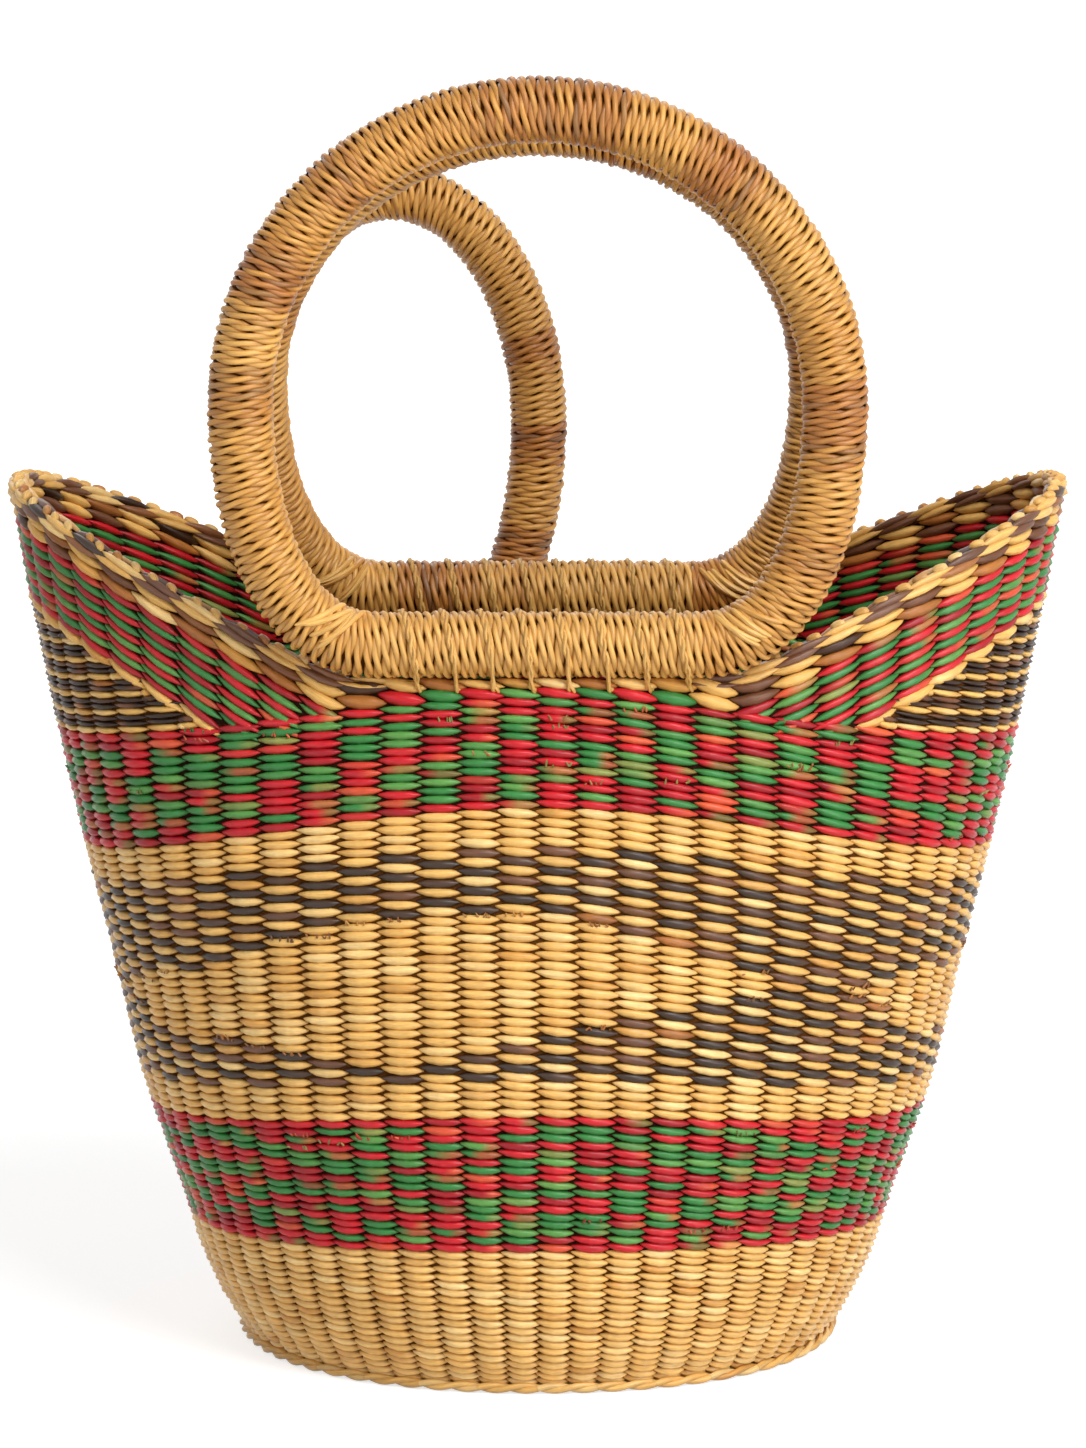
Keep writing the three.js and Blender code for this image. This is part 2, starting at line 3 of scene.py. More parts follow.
import bpy
import numpy as np
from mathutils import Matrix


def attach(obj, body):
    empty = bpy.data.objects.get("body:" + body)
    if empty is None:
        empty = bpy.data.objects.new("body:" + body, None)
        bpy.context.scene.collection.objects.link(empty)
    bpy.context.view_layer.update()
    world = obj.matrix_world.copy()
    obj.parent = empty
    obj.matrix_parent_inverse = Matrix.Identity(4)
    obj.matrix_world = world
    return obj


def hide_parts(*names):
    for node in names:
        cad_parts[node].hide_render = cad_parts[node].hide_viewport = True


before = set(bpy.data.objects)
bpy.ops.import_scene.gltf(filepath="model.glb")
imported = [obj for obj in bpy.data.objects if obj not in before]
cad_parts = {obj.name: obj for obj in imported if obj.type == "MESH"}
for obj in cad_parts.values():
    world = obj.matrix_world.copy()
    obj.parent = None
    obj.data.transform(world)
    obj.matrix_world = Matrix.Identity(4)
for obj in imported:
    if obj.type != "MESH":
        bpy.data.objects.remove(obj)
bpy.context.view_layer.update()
random = np.random.default_rng(11)

# Millimetres, up to make_piece. Angles go round the wall from the middle of the front, in radians.
MILLIMETRE = 0.001
TURN = 2 * math.pi
COLUMNS = 64
PITCH = TURN / COLUMNS
COLUMN_ANGLES = (np.arange(COLUMNS) + 0.5) * PITCH
BOTH_SIDES = ((1, "outside"), (-1, "inside"))
WINGS = ((-1, "left"), (1, "right"))

# Shape of the wall, as in the part's source
TIP_HEIGHT = 338
CREST = 277
BASE_RADIUS = 107
TIP_HALF_WIDTH = 202
BELLY_HALF_DEPTH = 139.5
SWELL = 0.025
HEIGHT_SHARES = np.array([0, 0.012, 0.036, 0.089, 0.178, 0.297, 0.445, 0.593, 0.742, 0.82, 0.89, 1])
WIDTH_SHARES = np.array([0, 0.05, 0.115, 0.215, 0.32, 0.465, 0.59, 0.72, 0.835, 0.89, 0.94, 1])
DEPTH_SHARES = np.array([0, 0.15, 0.34, 0.57, 0.78, 0.97, 1, 0.8, 0.49, 0.3, 0.16, -0.03])
WING_START_DEGREES = 25
WING_START = math.sin(math.radians(WING_START_DEGREES))
CREST_CURVE = 1.4
SLOPE_STEP = 0.5
SLOPE_ANGLE = 0.002
BASE_MIDDLE = 3.0


def along_shares(x, xs, ys):
    """A smooth curve through the points (xs, ys)."""
    slopes = np.diff(ys) / np.diff(xs)
    before, after = np.diff(xs)[:-1], np.diff(xs)[1:]
    inner = (slopes[:-1] * after + slopes[1:] * before) / (before + after)
    tangents = np.concatenate([[slopes[0]], inner, [slopes[-1]]])
    i = np.clip(np.searchsorted(xs, x, side="right") - 1, 0, len(xs) - 2)
    span = xs[i + 1] - xs[i]
    t = (x - xs[i]) / span
    rise = ys[i] * (2 * t**3 - 3 * t**2 + 1) + ys[i + 1] * (3 * t**2 - 2 * t**3)
    return rise + span * (tangents[i] * (t**3 - 2 * t**2 + t) + tangents[i + 1] * (t**3 - t**2))


def half_width(z):
    share = along_shares(z / TIP_HEIGHT, HEIGHT_SHARES, WIDTH_SHARES)
    return BASE_RADIUS + (TIP_HALF_WIDTH - BASE_RADIUS) * share


def half_depth(z):
    share = along_shares(z / TIP_HEIGHT, HEIGHT_SHARES, DEPTH_SHARES)
    return BASE_RADIUS + (BELLY_HALF_DEPTH - BASE_RADIUS) * share


def turned(angle, z):
    """The angle at which a column stands on the oval, where columns keep equal spacing."""
    width, depth = half_width(z), half_depth(z)
    return angle - (width - depth) / (width + depth) / 2 * np.sin(2 * angle)


def swelling(turn):
    """How much fuller the wall is than an ellipse between its sides."""
    return 1 + SWELL * np.sin(2 * turn) ** 2


def wall(angle, z):
    width, depth, turn = half_width(z), half_depth(z), turned(angle, z)
    swell = swelling(turn)
    return np.stack([width * swell * np.sin(turn), -depth * swell * np.cos(turn), z + 0 * turn], -1)


def unit(v):
    return v / np.maximum(np.linalg.norm(v, axis=-1, keepdims=True), 1e-9)


def between(angle, first, second):
    """The direction at an angle from the first towards the second."""
    return np.cos(angle)[..., None] * first + np.sin(angle)[..., None] * second


def wall_surface(angle, z):
    """Points in the middle of the wall, with the directions outward and up its slope."""
    up = unit(wall(angle, z + SLOPE_STEP) - wall(angle, z - SLOPE_STEP))
    onward = wall(angle + SLOPE_ANGLE, z) - wall(angle - SLOPE_ANGLE, z)
    return wall(angle, z), unit(np.cross(onward, up)), up


def floor_surface(angle, radius):
    """The same for the base, where outward is down and up is away from the middle."""
    swell = swelling(angle)
    outward = np.stack([np.sin(angle), -np.cos(angle), 0 * angle], -1)
    point = outward * (radius * swell)[..., None] + np.array([0, 0, BASE_MIDDLE])
    return point, np.broadcast_to(np.array([0, 0, -1.0]), point.shape), outward


def sine(angle):
    return np.abs(np.sin(angle))


def edge(front, side):
    """A band's edge, from its height at the front and the back to its height at the sides."""
    return lambda angle: side + (front - side) * (1 - sine(angle) ** 2)


def level(value):
    """The same value at every angle."""
    return lambda angle: value + 0 * angle


wall_foot = level(2.2)
lower_bottom = edge(60.5, 51)
lower_top = edge(114, 96)
upper_bottom = edge(230, 197)
upper_top = edge(270.5, 242)


def crest(angle):
    share = np.maximum(0, (sine(angle) - WING_START) / (1 - WING_START))
    return CREST + (TIP_HEIGHT - CREST) * share**CREST_CURVE


def off_middle(angle):
    """Degrees from the middle of the front or of the back."""
    return np.degrees(np.arcsin(np.clip(sine(angle), 0, 1)))


def eased(x):
    x = np.clip(x, 0, 1)
    return x * x * (3 - 2 * x)


BRAID_START_DEGREES = 23
BRAID_FADE_DEGREES = 8
BRAID_HEIGHT = 6.2
RIM_ABOVE_CREST = 0.4
WING_BAND = 44.5
EDGE_ROW = 4.4
RIM_PAIR = 15.2


def braid_share(angle):
    """0 between the wings, where the rim has no braid, and 1 along them."""
    return eased((off_middle(angle) - BRAID_START_DEGREES) / BRAID_FADE_DEGREES)


def rim_high(angle):
    return crest(angle) - BRAID_HEIGHT * braid_share(angle) + RIM_ABOVE_CREST * (1 - braid_share(angle))


def rim_low(angle):
    return np.maximum(crest(angle) - RIM_PAIR, upper_top(angle))


def wing_low(angle):
    return np.maximum(crest(angle) - WING_BAND, upper_top(angle))


# Heights along the wall's slope, so that rows keep an even pitch where the wall leans
TABLE_TOP = 345
TABLE_STEPS = 1380
TABLE_Z = np.linspace(0, TABLE_TOP, TABLE_STEPS + 1)
TABLE_RADIUS = (half_width(TABLE_Z) + half_depth(TABLE_Z)) / 2
TABLE_CLIMB = np.concatenate([[0], np.cumsum(np.hypot(np.diff(TABLE_Z), np.diff(TABLE_RADIUS)))])


def climb(z):
    return np.interp(z, TABLE_Z, TABLE_CLIMB)


def height_of(length):
    return np.interp(length, TABLE_CLIMB, TABLE_Z)


# Colours
SHADE_POWERS = np.array([0.8, 1.05, 1.5])


def linear(red, green, blue):
    """From the numbers of a picture, 0 to 255, to light."""
    c = np.array([red, green, blue]) / 255
    return np.where(c <= 0.04045, c / 12.92, ((c + 0.055) / 1.055) ** 2.4)


PALE = linear(242, 204, 134)
STRAW = linear(231, 181, 100)
DEEP = linear(208, 149, 69)
CARAMEL = linear(176, 110, 50)
MAUVE = linear(112, 71, 47)
BROWN = linear(50, 31, 18)
RED = linear(198, 28, 38)
DARK_RED = linear(160, 20, 30)
ORANGE = linear(216, 92, 54)
GREEN = linear(52, 124, 58)
LIGHT_GREEN = linear(92, 148, 70)
OLIVE = linear(138, 142, 72)
SHADOW = linear(84, 50, 18)
DARK_SHADOW = linear(40, 20, 12)
DARK_CANE = linear(120, 84, 44)
LIGHT_CANE = linear(190, 148, 90)


def mixed(count, colours, weights):
    """One colour for each strand, picked by weight and then varied a little."""
    colours, chances = np.array(colours), np.array(weights) / np.sum(weights)
    out, other = (colours[random.choice(len(colours), size=count, p=chances)] for _ in range(2))
    blend = random.uniform(0, 0.4, (count, 1))
    return (out * (1 - blend) + other * blend) * random.uniform(0.93, 1.06, (count, 1))


def shaded(colour, light):
    """A crease keeps its warmth as it darkens."""
    return colour * light**SHADE_POWERS


def naturals(count):
    return mixed(count, [PALE, STRAW, DEEP], [1.6, 6, 0.8])


def reds(count):
    return mixed(count, [RED, DARK_RED, ORANGE], [7, 3, 0.5])


def greens(count):
    return mixed(count, [GREEN, LIGHT_GREEN, OLIVE], [6, 2, 0.35])


def browns(count):
    return mixed(count, [BROWN, MAUVE, CARAMEL], [7, 2, 0.15])


# Strands: arrays of (strand, station, section point), each a ribbon with a rounded back
SECTION = np.radians([-88, -50, 0, 50, 88])
STATIONS = np.array([-1, -0.82, -0.48, 0, 0.48, 0.82, 1])
STITCH_FOOT = 0.35
# Painted shade darkens the sides of a stitch's section, and a painted highlight lightens its crest
STITCH_SHADE_AND_HIGHLIGHT = np.array([0.26, 0.8, 1.06, 1.02, 0.42])
GRAIN_SHIFT = 60
GROUND_SIZE = (60.0, 20.0)
GIRTH = 150


# A group flagged True here is a dark sheet of painted shade, drawn with the shaded_ground material
def strand_group(points, tint, strand, size, shade_sheet=False):
    """strand holds the places along and across, and where the grain starts; size is a length and a girth."""
    strand = np.stack(np.broadcast_arrays(*strand), -1)
    return {"points": points, "tint": tint, "strand": strand, "size": size, "shade_sheet": shade_sheet}


def weave(side, centres, height_at, pitch, tints, columns=COLUMNS, surface=wall_surface, span=0.6,
          slant=0.22, fill=1.24, peak=3.35, sag=0.15, second=None, sunk=0.0):
    """Stitches over the stakes, outside where side is 1 and inside where it is -1.

    span is half a stitch's length in columns; slant, sag and fill are its lean, bow and width in rows.
    """
    count = len(centres)
    u = STATIONS[None, :]
    loose = random.normal(size=(count, 6, 1))
    reach = span * TURN / columns * (1 + 0.03 * loose[:, 0])
    angle = centres[:, None] + side * u * reach
    point, normal, up = surface(angle, height_at(angle))
    pitch = np.full(count, pitch)[:, None]
    lean = -u * slant * (1 + 0.2 * loose[:, 1]) + 0.03 * loose[:, 2]
    lift = pitch * (lean + sag * (np.abs(u) ** 1.6 - 0.4))
    centre = point + up * lift[..., None]
    normal = normal * side
    ahead = unit(np.gradient(centre, axis=1))
    across = unit(np.cross(normal, ahead))
    leaning = np.abs(np.sum(across * up, -1))
    plump = np.maximum(1 - np.abs(u) ** 1.9, 0) ** 0.85
    width = 0.5 * pitch * fill * leaning * np.maximum(plump, 0.07) * (1 + 0.05 * loose[:, 3])
    rise = np.maximum(1 - u**2, 0.02) ** 0.55 * (peak - STITCH_FOOT) * (1 + 0.05 * loose[:, 4])
    foot = STITCH_FOOT - 0.6 * np.abs(u) ** 3 - np.reshape(sunk, (-1, 1))
    out = foot[..., None] + rise[..., None] * np.cos(SECTION)
    shift = width[..., None] * np.sin(SECTION)
    points = centre[:, :, None] + normal[:, :, None] * out[..., None] + across[:, :, None] * shift[..., None]

    # Painted shade: each stitch darkens towards its tips and along its sides, and its crest gets a painted
    # highlight
    tip_shade = 1 - 0.45 * np.abs(u) ** 5
    light = (tip_shade[..., None] * STITCH_SHADE_AND_HIGHLIGHT)[..., None]
    turnover = random.uniform(-0.5, 0.5, (count, 1))
    share = eased((u - turnover) * 3 + 0.5)[..., None]
    two = tints if second is None else second
    colour = tints[:, None] * (1 - share) + two[:, None] * share
    tint = shaded(colour[:, :, None], light)
    length = np.linalg.norm(centre[:, -1] - centre[:, 0], axis=-1)[:, None, None]
    strand = (u[..., None] * length / 2, shift, random.uniform(0, GRAIN_SHIFT, (count, 1, 1)))
    return strand_group(points, tint, strand, (float(length.mean()), float(pitch.mean()) * 1.5))


def sheet(side, low, high, start=0.0, end=TURN, stations=129, levels=14, out=0.6, surface=wall_surface,
          tint=SHADOW):
    """The shaded ground that shows between the stitches."""
    angle = np.linspace(start, end, stations)[:: side][:, None]
    share = np.linspace(0, 1, levels)[None]
    z = low(angle) + (high(angle) - low(angle)) * share
    point, normal, _ = surface(angle + 0 * z, z)
    points = (point + normal * side * out)[None]
    strand = (angle[None] * GIRTH, z[None], 0)
    return strand_group(points, np.broadcast_to(tint, points.shape), strand, GROUND_SIZE, shade_sheet=True)


def stitch_grid(count):
    """Row, column, angle and share of the band's height for each stitch of a closed band."""
    rows, columns = (a.ravel() for a in np.meshgrid(np.arange(count), np.arange(COLUMNS), indexing="ij"))
    return rows, columns, (columns + 0.5) * PITCH, (rows + 0.5) / count


def height_between(low, high, angle, share):
    low_climb, high_climb = climb(low(angle)), climb(high(angle))
    return height_of(low_climb + (high_climb - low_climb) * share)


def ring_band(low, high, count, tints, side, **options):
    """A closed band of rows. tints gives each stitch the two colours that it turns between."""
    rows, columns, centres, share = stitch_grid(count)

    def height_at(angle):
        return height_between(low, high, angle, share[:, None])

    pitch = (climb(high(centres)) - climb(low(centres))) / count
    one, two = tints(rows, columns, centres, height_at(centres[:, None])[:, 0])
    return weave(side, centres, height_at, pitch, one, second=two, **options)


def upright_runs(row_count, lengths, first):
    """Runs of green (0) and red (1) by turns up each column."""
    pattern = np.zeros((row_count, COLUMNS), int)
    for column in range(COLUMNS):
        row, colour = 0, (column + first) % 2
        while row < row_count:
            length = random.choice(lengths)
            pattern[row : row + length, column] = colour
            row += length
            colour = 1 - colour
    return pattern


def red_green(pattern):
    """Two colours for each stitch: most keep one, and some turn from red to green along their length."""
    is_red = pattern.ravel() == 1
    count = len(is_red)
    one = np.where(is_red[:, None], reds(count), greens(count))
    swap = np.where(is_red[:, None], greens(count), reds(count))
    tired = mixed(count, [ORANGE, OLIVE, STRAW], [3, 3, 0.6])
    kind = random.uniform(size=(count, 1))
    faded = np.where(kind < 0.19, tired * 0.6 + one * 0.4, one)
    two = np.where(kind < 0.1, swap * 0.6 + one * 0.4, faded)
    return one, two


# Round strands, each along its own path
def round_strands(centre, radius, sides, tint, facing=None):
    """Tubes along paths of (strand, station). facing is the direction in which the section starts."""
    ahead = unit(np.gradient(centre, axis=1))
    if facing is None:
        facing = np.broadcast_to(np.array([0, 0, 1.0]), centre.shape)
    first = unit(facing - ahead * np.sum(facing * ahead, -1, keepdims=True))
    second = np.cross(first, ahead)
    turn = np.linspace(0, TURN, sides)
    radius = np.broadcast_to(radius, centre.shape[:2])[..., None, None]
    points = centre[:, :, None] + between(turn, first[:, :, None], second[:, :, None]) * radius
    steps = np.linalg.norm(np.diff(centre, axis=1), axis=-1)
    travel = np.concatenate([np.zeros((len(centre), 1)), np.cumsum(steps, 1)], 1)
    strand = (travel[..., None], turn * radius[..., 0], random.uniform(0, GRAIN_SHIFT, (len(centre), 1, 1)))
    shade = 0.82 + 0.2 * np.cos(turn)
    tints = tint[:, None, None] * np.ones(points.shape[:3])[..., None] * shade[:, None]
    return strand_group(points, tints, strand, (float(travel[:, -1].mean()), float(radius.mean()) * 4))


def quad_corners(grid):
    return [grid[:, :-1, :-1], grid[:, 1:, :-1], grid[:, 1:, 1:], grid[:, :-1, 1:]]


def make_piece(name, groups, straw, nodes, body="body"):
    """One mesh. Each group gets a strip of the texture map by its area, and each strand a cell in it."""
    material, slot = straw
    vertices, faces, tints, strands, maps, shade_sheet_faces = [], [], [], [], [], []
    weights = [g["points"].shape[0] * g["size"][0] * g["size"][1] for g in groups]
    start, floor = 0, 0.0
    for group, weight in zip(groups, weights):
        count, stations, sides = group["points"].shape[:3]
        index = start + np.arange(count * stations * sides).reshape(count, stations, sides)
        faces.append(np.stack(quad_corners(index), -1).reshape(-1, 4))
        # Faces of the sheets of painted shade get material index 1, shaded_ground
        shade_sheet_faces.append(np.full(len(faces[-1]), int(group["shade_sheet"])))
        vertices.append(group["points"].reshape(-1, 3) * MILLIMETRE)
        tints.append(group["tint"].reshape(-1, 3))
        strands.append(group["strand"].reshape(-1, 3))
        start += count * stations * sides

        height = weight / sum(weights)
        aspect = group["size"][0] / group["size"][1]
        across = min(count, max(1, round(math.sqrt(count / (aspect * height)))))
        down = math.ceil(count / across)
        cell = np.arange(count)[:, None, None]
        u = np.linspace(0.04, 0.96, stations)[None, :, None]
        v = np.linspace(0.06, 0.94, sides)[None, None]
        u, v = np.broadcast_arrays((cell % across + u) / across, floor + (cell // across + v) / down * height)
        maps.append(np.stack(quad_corners(np.stack([u, v], -1)), -2).reshape(-1, 2))
        floor += height

    vertices, faces = np.concatenate(vertices), np.concatenate(faces)
    mesh = bpy.data.meshes.new(name)
    mesh.vertices.add(len(vertices))
    mesh.vertices.foreach_set("co", vertices.ravel())
    mesh.loops.add(faces.size)
    mesh.loops.foreach_set("vertex_index", faces.ravel())
    mesh.polygons.add(len(faces))
    mesh.polygons.foreach_set("loop_start", np.arange(0, faces.size, 4))
    mesh.update(calc_edges=True)
    tint = np.concatenate([np.concatenate(tints), np.ones((len(vertices), 1))], 1).astype(np.float32)
    mesh.attributes.new("tint", "FLOAT_COLOR", "POINT").data.foreach_set("color", tint.ravel())
    strand = np.concatenate(strands).astype(np.float32)
    mesh.attributes.new("strand", "FLOAT_VECTOR", "POINT").data.foreach_set("vector", strand.ravel())
    layer = mesh.uv_layers.new(name="OFBake")
    layer.data.foreach_set("uv", np.concatenate(maps).astype(np.float32).ravel())
    mesh.shade_smooth()
    mesh.materials.append(material)
    mesh.materials.append(shaded_ground)
    mesh.polygons.foreach_set("material_index", np.concatenate(shade_sheet_faces).astype(np.int32))
    made = bpy.data.objects.new(name, mesh)
    bpy.context.scene.collection.objects.link(made)
    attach(made, body)
    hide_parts(*nodes)


# Materials
def set_inputs(tree, node, inputs):
    """Each input gets a number or colour, or a link from an output."""
    for key, value in inputs.items():
        if isinstance(value, bpy.types.NodeSocket):
            tree.links.new(value, node.inputs[key])
        else:
            node.inputs[key].default_value = value
    return node


def new_node(tree, kind, inputs=None, **settings):
    node = tree.nodes.new(f"ShaderNode{kind}")
    for name, value in settings.items():
        setattr(node, name, value)
    return set_inputs(tree, node, inputs or {})


def new_material(name):
    material = bpy.data.materials.new(name)
    material.use_nodes = True
    return material, material.node_tree, material.node_tree.nodes["Principled BSDF"]


def attribute(tree, name, output):
    return new_node(tree, "Attribute", attribute_name=name).outputs[output]


def object_place(tree):
    return new_node(tree, "TexCoord").outputs["Object"]


def noise_at(tree, vector, scale, detail=3.0):
    return new_node(tree, "TexNoise", {"Scale": scale, "Detail": detail, "Vector": vector}).outputs["Fac"]


def ranged(tree, value, low, high, to_low, to_high):
    ends = {"From Min": low, "From Max": high, "To Min": to_low, "To Max": to_high}
    return new_node(tree, "MapRange", {**ends, "Value": value}).outputs["Result"]


def stretched(tree, vector, scale):
    return new_node(tree, "VectorMath", {0: vector, 1: scale}, operation="MULTIPLY").outputs["Vector"]


def multiplied(tree, colour, factor):
    return new_node(tree, "VectorMath", {0: colour, "Scale": factor}, operation="SCALE").outputs["Vector"]


def straw_material(name, roughness, gloss):
    """Split grass: each strand's own colour with its painted shade and painted highlight, streaked along its
    fibres, with a satin back.
    """
    material, tree, shader = new_material(name)
    strand = attribute(tree, "strand", "Vector")
    fibres = noise_at(tree, stretched(tree, strand, (0.16, 1.5, 1)), 1.0)
    mottle = noise_at(tree, stretched(tree, strand, (0.3, 0.3, 1)), 0.7, 2.0)
    streaks = ranged(tree, fibres, 0.32, 0.68, 0.86, 1.1)
    streaked = multiplied(tree, attribute(tree, "tint", "Color"), streaks)
    bump = new_node(tree, "Bump", {"Strength": 0.5, "Distance": 0.0003, "Height": fibres})
    set_inputs(tree, shader, {
        "Base Color": multiplied(tree, streaked, ranged(tree, mottle, 0.3, 0.7, 0.93, 1.06)),
        "Roughness": ranged(tree, fibres, 0.3, 0.7, roughness + 0.1, roughness - 0.06),
        "Specular IOR Level": gloss,
        "Normal": bump.outputs["Normal"],
    })
    return material


def ground_material():
    """The shaded inside of the weave, seen between the strands."""
    material, tree, shader = new_material("shaded_ground")
    grain = ranged(tree, noise_at(tree, object_place(tree), 900.0), 0.3, 0.7, 0.7, 1.2)
    set_inputs(tree, shader, {
        "Base Color": multiplied(tree, attribute(tree, "tint", "Color"), grain),
        "Roughness": 1.0,
        "Specular IOR Level": 0.05,
    })
    return material


def cane_material():
    """Bare stems, for the stakes and the rings' cores."""
    material, tree, shader = new_material("cane")
    grain = noise_at(tree, stretched(tree, object_place(tree), (400, 400, 30)), 1.0)
    ramp = new_node(tree, "ValToRGB", {"Fac": grain})
    for stop, colour in zip(ramp.color_ramp.elements, (DARK_CANE, LIGHT_CANE)):
        stop.color = (*colour, 1)
    set_inputs(tree, shader, {
        "Base Color": ramp.outputs["Color"],
        "Roughness": ranged(tree, grain, 0.3, 0.7, 0.75, 0.55),
    })
    return material


# Each straw with its slot
pale_straw = straw_material("pale_straw", 0.36, 0.5), "pale_straw"
golden_straw = straw_material("golden_straw", 0.36, 0.46), "straw"
dyed_straw = straw_material("dyed_straw", 0.33, 0.36), "dyed_red"
brown_straw = straw_material("brown_straw", 0.35, 0.3), "dyed_brown"
shaded_ground = ground_material()
cane = cane_material()
for node_name in ("warp_stakes", "front_handle_core", "rear_handle_core", "hanging_loop_core"):
    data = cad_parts[node_name].data
    data.materials.clear()
    data.materials.append(cane)


# Bands of the body
NATURAL_ROWS = 20
LOWER_ROWS = 17
UPPER_ROWS = 13
RED_EDGE_FROM_DEGREES = 20


def plain(rows, columns, centres, z):
    colour = naturals(len(rows))
    return colour, mixed(len(rows), [PALE, STRAW, DEEP], [1, 1, 0.2]) * 0.3 + colour * 0.7


def dyed_rows(count, lengths, first, red_rows, red_sides=()):
    """Red and green runs, with rows that are red all round and rows that are red at the sides."""
    pattern = upright_runs(count, lengths, first)
    for row in red_rows:
        pattern[row] = 1
    for row in red_sides:
        pattern[row, off_middle(COLUMN_ANGLES) > RED_EDGE_FROM_DEGREES] = 1
    return lambda rows, columns, centres, z: red_green(pattern)


LEAF_ROWS = 33
LEAF_PLAIN_ROWS = 4
LEAF_REPEAT_DEGREES = 120
LEAF_START_DEGREES = -76
LEAF_LOW = (
    [-76, -61, -41, -21, -16, -1, 16, 27, 37, 44],
    [0.47, 0.35, 0.28, 0.2, 0.16, 0.25, 0.35, 0.41, 0.47, 0.47],
)
LEAF_HIGH = (
    [-76, -62, -46, -30, -14, 0, 22, 37, 44],
    [0.47, 0.52, 0.575, 0.645, 0.685, 0.665, 0.565, 0.47, 0.47],
)


def leaf_edges(centres, z):
    """Shares of the band's height between which the plain leaf lies. It comes round three times."""
    turn = (np.degrees(turned(centres, z)) - LEAF_START_DEGREES) % LEAF_REPEAT_DEGREES + LEAF_START_DEGREES
    return np.interp(turn, *LEAF_LOW), np.interp(turn, *LEAF_HIGH)


def between_plain_rows(rows):
    return (rows >= LEAF_PLAIN_ROWS) & (rows < LEAF_ROWS - LEAF_PLAIN_ROWS)


def leaf_rows(rows, columns, centres, z):
    low, high = leaf_edges(centres, z)
    share = (rows + 0.5) / LEAF_ROWS
    in_leaf = (share > low) & (share < high)
    is_brown = ~in_leaf & between_plain_rows(rows) & ((rows + columns) % 2 == 0)
    count = len(rows)
    one, other = (np.where(is_brown[:, None], browns(count), naturals(count)) for _ in range(2))
    return one, one * 0.75 + other * 0.25


BODY_BANDS = [
    ("lower_natural_weft", wall_foot, lower_bottom, NATURAL_ROWS, plain, pale_straw),
    ("lower_red_green_weft", lower_bottom, lower_top, LOWER_ROWS,
     dyed_rows(LOWER_ROWS, [1, 2, 2, 3], 0, [0, LOWER_ROWS - 1]), dyed_straw),
    ("leaf_pattern_weft", lower_top, upper_bottom, LEAF_ROWS, leaf_rows, golden_straw),
    ("upper_red_green_weft", upper_bottom, upper_top, UPPER_ROWS,
     dyed_rows(UPPER_ROWS, [1, 2, 3, 4], 1, [0], [UPPER_ROWS - 1]), dyed_straw),
]
for name, low, high, count, tints, straw in BODY_BANDS:
    ground = DARK_SHADOW if straw is dyed_straw else SHADOW
    for side, where in BOTH_SIDES:
        groups = [ring_band(low, high, count, tints, side), sheet(side, low, high, tint=ground)]
        make_piece(f"{name}_{where}", groups, straw, [name])


FRINGE_RADIUS = 0.4
DYED_FRINGES = 34


def fringe(centres, heights, colours, ends=5):
    """Short frayed ends that stand up from the top edge of a stitch."""
    count = len(centres)
    loose = random.normal(size=(count, ends, 3))
    k = random.uniform(-0.34, 0.34, (count, ends, 1))
    u = np.linspace(0, 1, 4)
    angle = centres[:, None, None] + (k + 0.05 * loose[..., :1] * u) * PITCH
    point, normal, up = wall_surface(angle, heights[:, None, None] + 0.8 + 0 * angle)
    climb_by = (1.5 + 0.5 * loose[..., 1:2]) * u
    stand = 2.7 + (0.8 + 0.3 * loose[..., 2:3]) * u
    centre = point + up * climb_by[..., None] + normal * stand[..., None]
    centre = centre.reshape(-1, len(u), 3)
    radius = FRINGE_RADIUS * np.array([1, 1, 0.85, 0.3]) * random.uniform(0.8, 1.2, (count * ends, 1))
    tint = np.repeat(colours, ends, axis=0) * random.uniform(0.75, 1.2, (count * ends, 1))
    return round_strands(centre, radius, 6, tint)


def leaf_fringe():
    """Along the leaf's edges, where the brown strands were cut off and turned in."""
    rows, columns, centres, share = stitch_grid(LEAF_ROWS)
    z = height_between(lower_top, upper_bottom, centres, share)
    low, high = leaf_edges(centres, z)
    above, below = share - high, low - share
    step = 1.0 / LEAF_ROWS
    at_top = (above > -step) & (above <= 0)
    at_bottom = (below > 0) & (below <= step) & ((rows + columns) % 2 == 0)
    picked = random.uniform(size=len(rows)) < 0.5
    keep = between_plain_rows(rows) & (at_top | at_bottom) & picked
    colours = mixed(int(keep.sum()), [CARAMEL, DEEP, MAUVE, STRAW], [4, 2, 2, 1.5])
    return fringe(centres[keep], z[keep], colours)


make_piece("leaf_pattern_weft_fringe", [leaf_fringe()], golden_straw, ["leaf_pattern_weft"])


def dyed_fringe(low, high, colours):
    """Here and there on a red and green band."""
    centres = (random.integers(0, COLUMNS, DYED_FRINGES) + 0.5) * PITCH
    share = random.uniform(0.05, 0.95, DYED_FRINGES)
    heights = low(centres) + (high(centres) - low(centres)) * share
    return fringe(centres, heights, mixed(DYED_FRINGES, colours, [2, 2, 1]), ends=4)


for name, low, high, last_colour in (
    ("upper_red_green_weft", upper_bottom, upper_top, GREEN),
    ("lower_red_green_weft", lower_bottom, lower_top, RED),
):
    ends = dyed_fringe(low, high, [ORANGE, OLIVE, last_colour])
    make_piece(f"{name}_fringe", [ends], dyed_straw, [name])


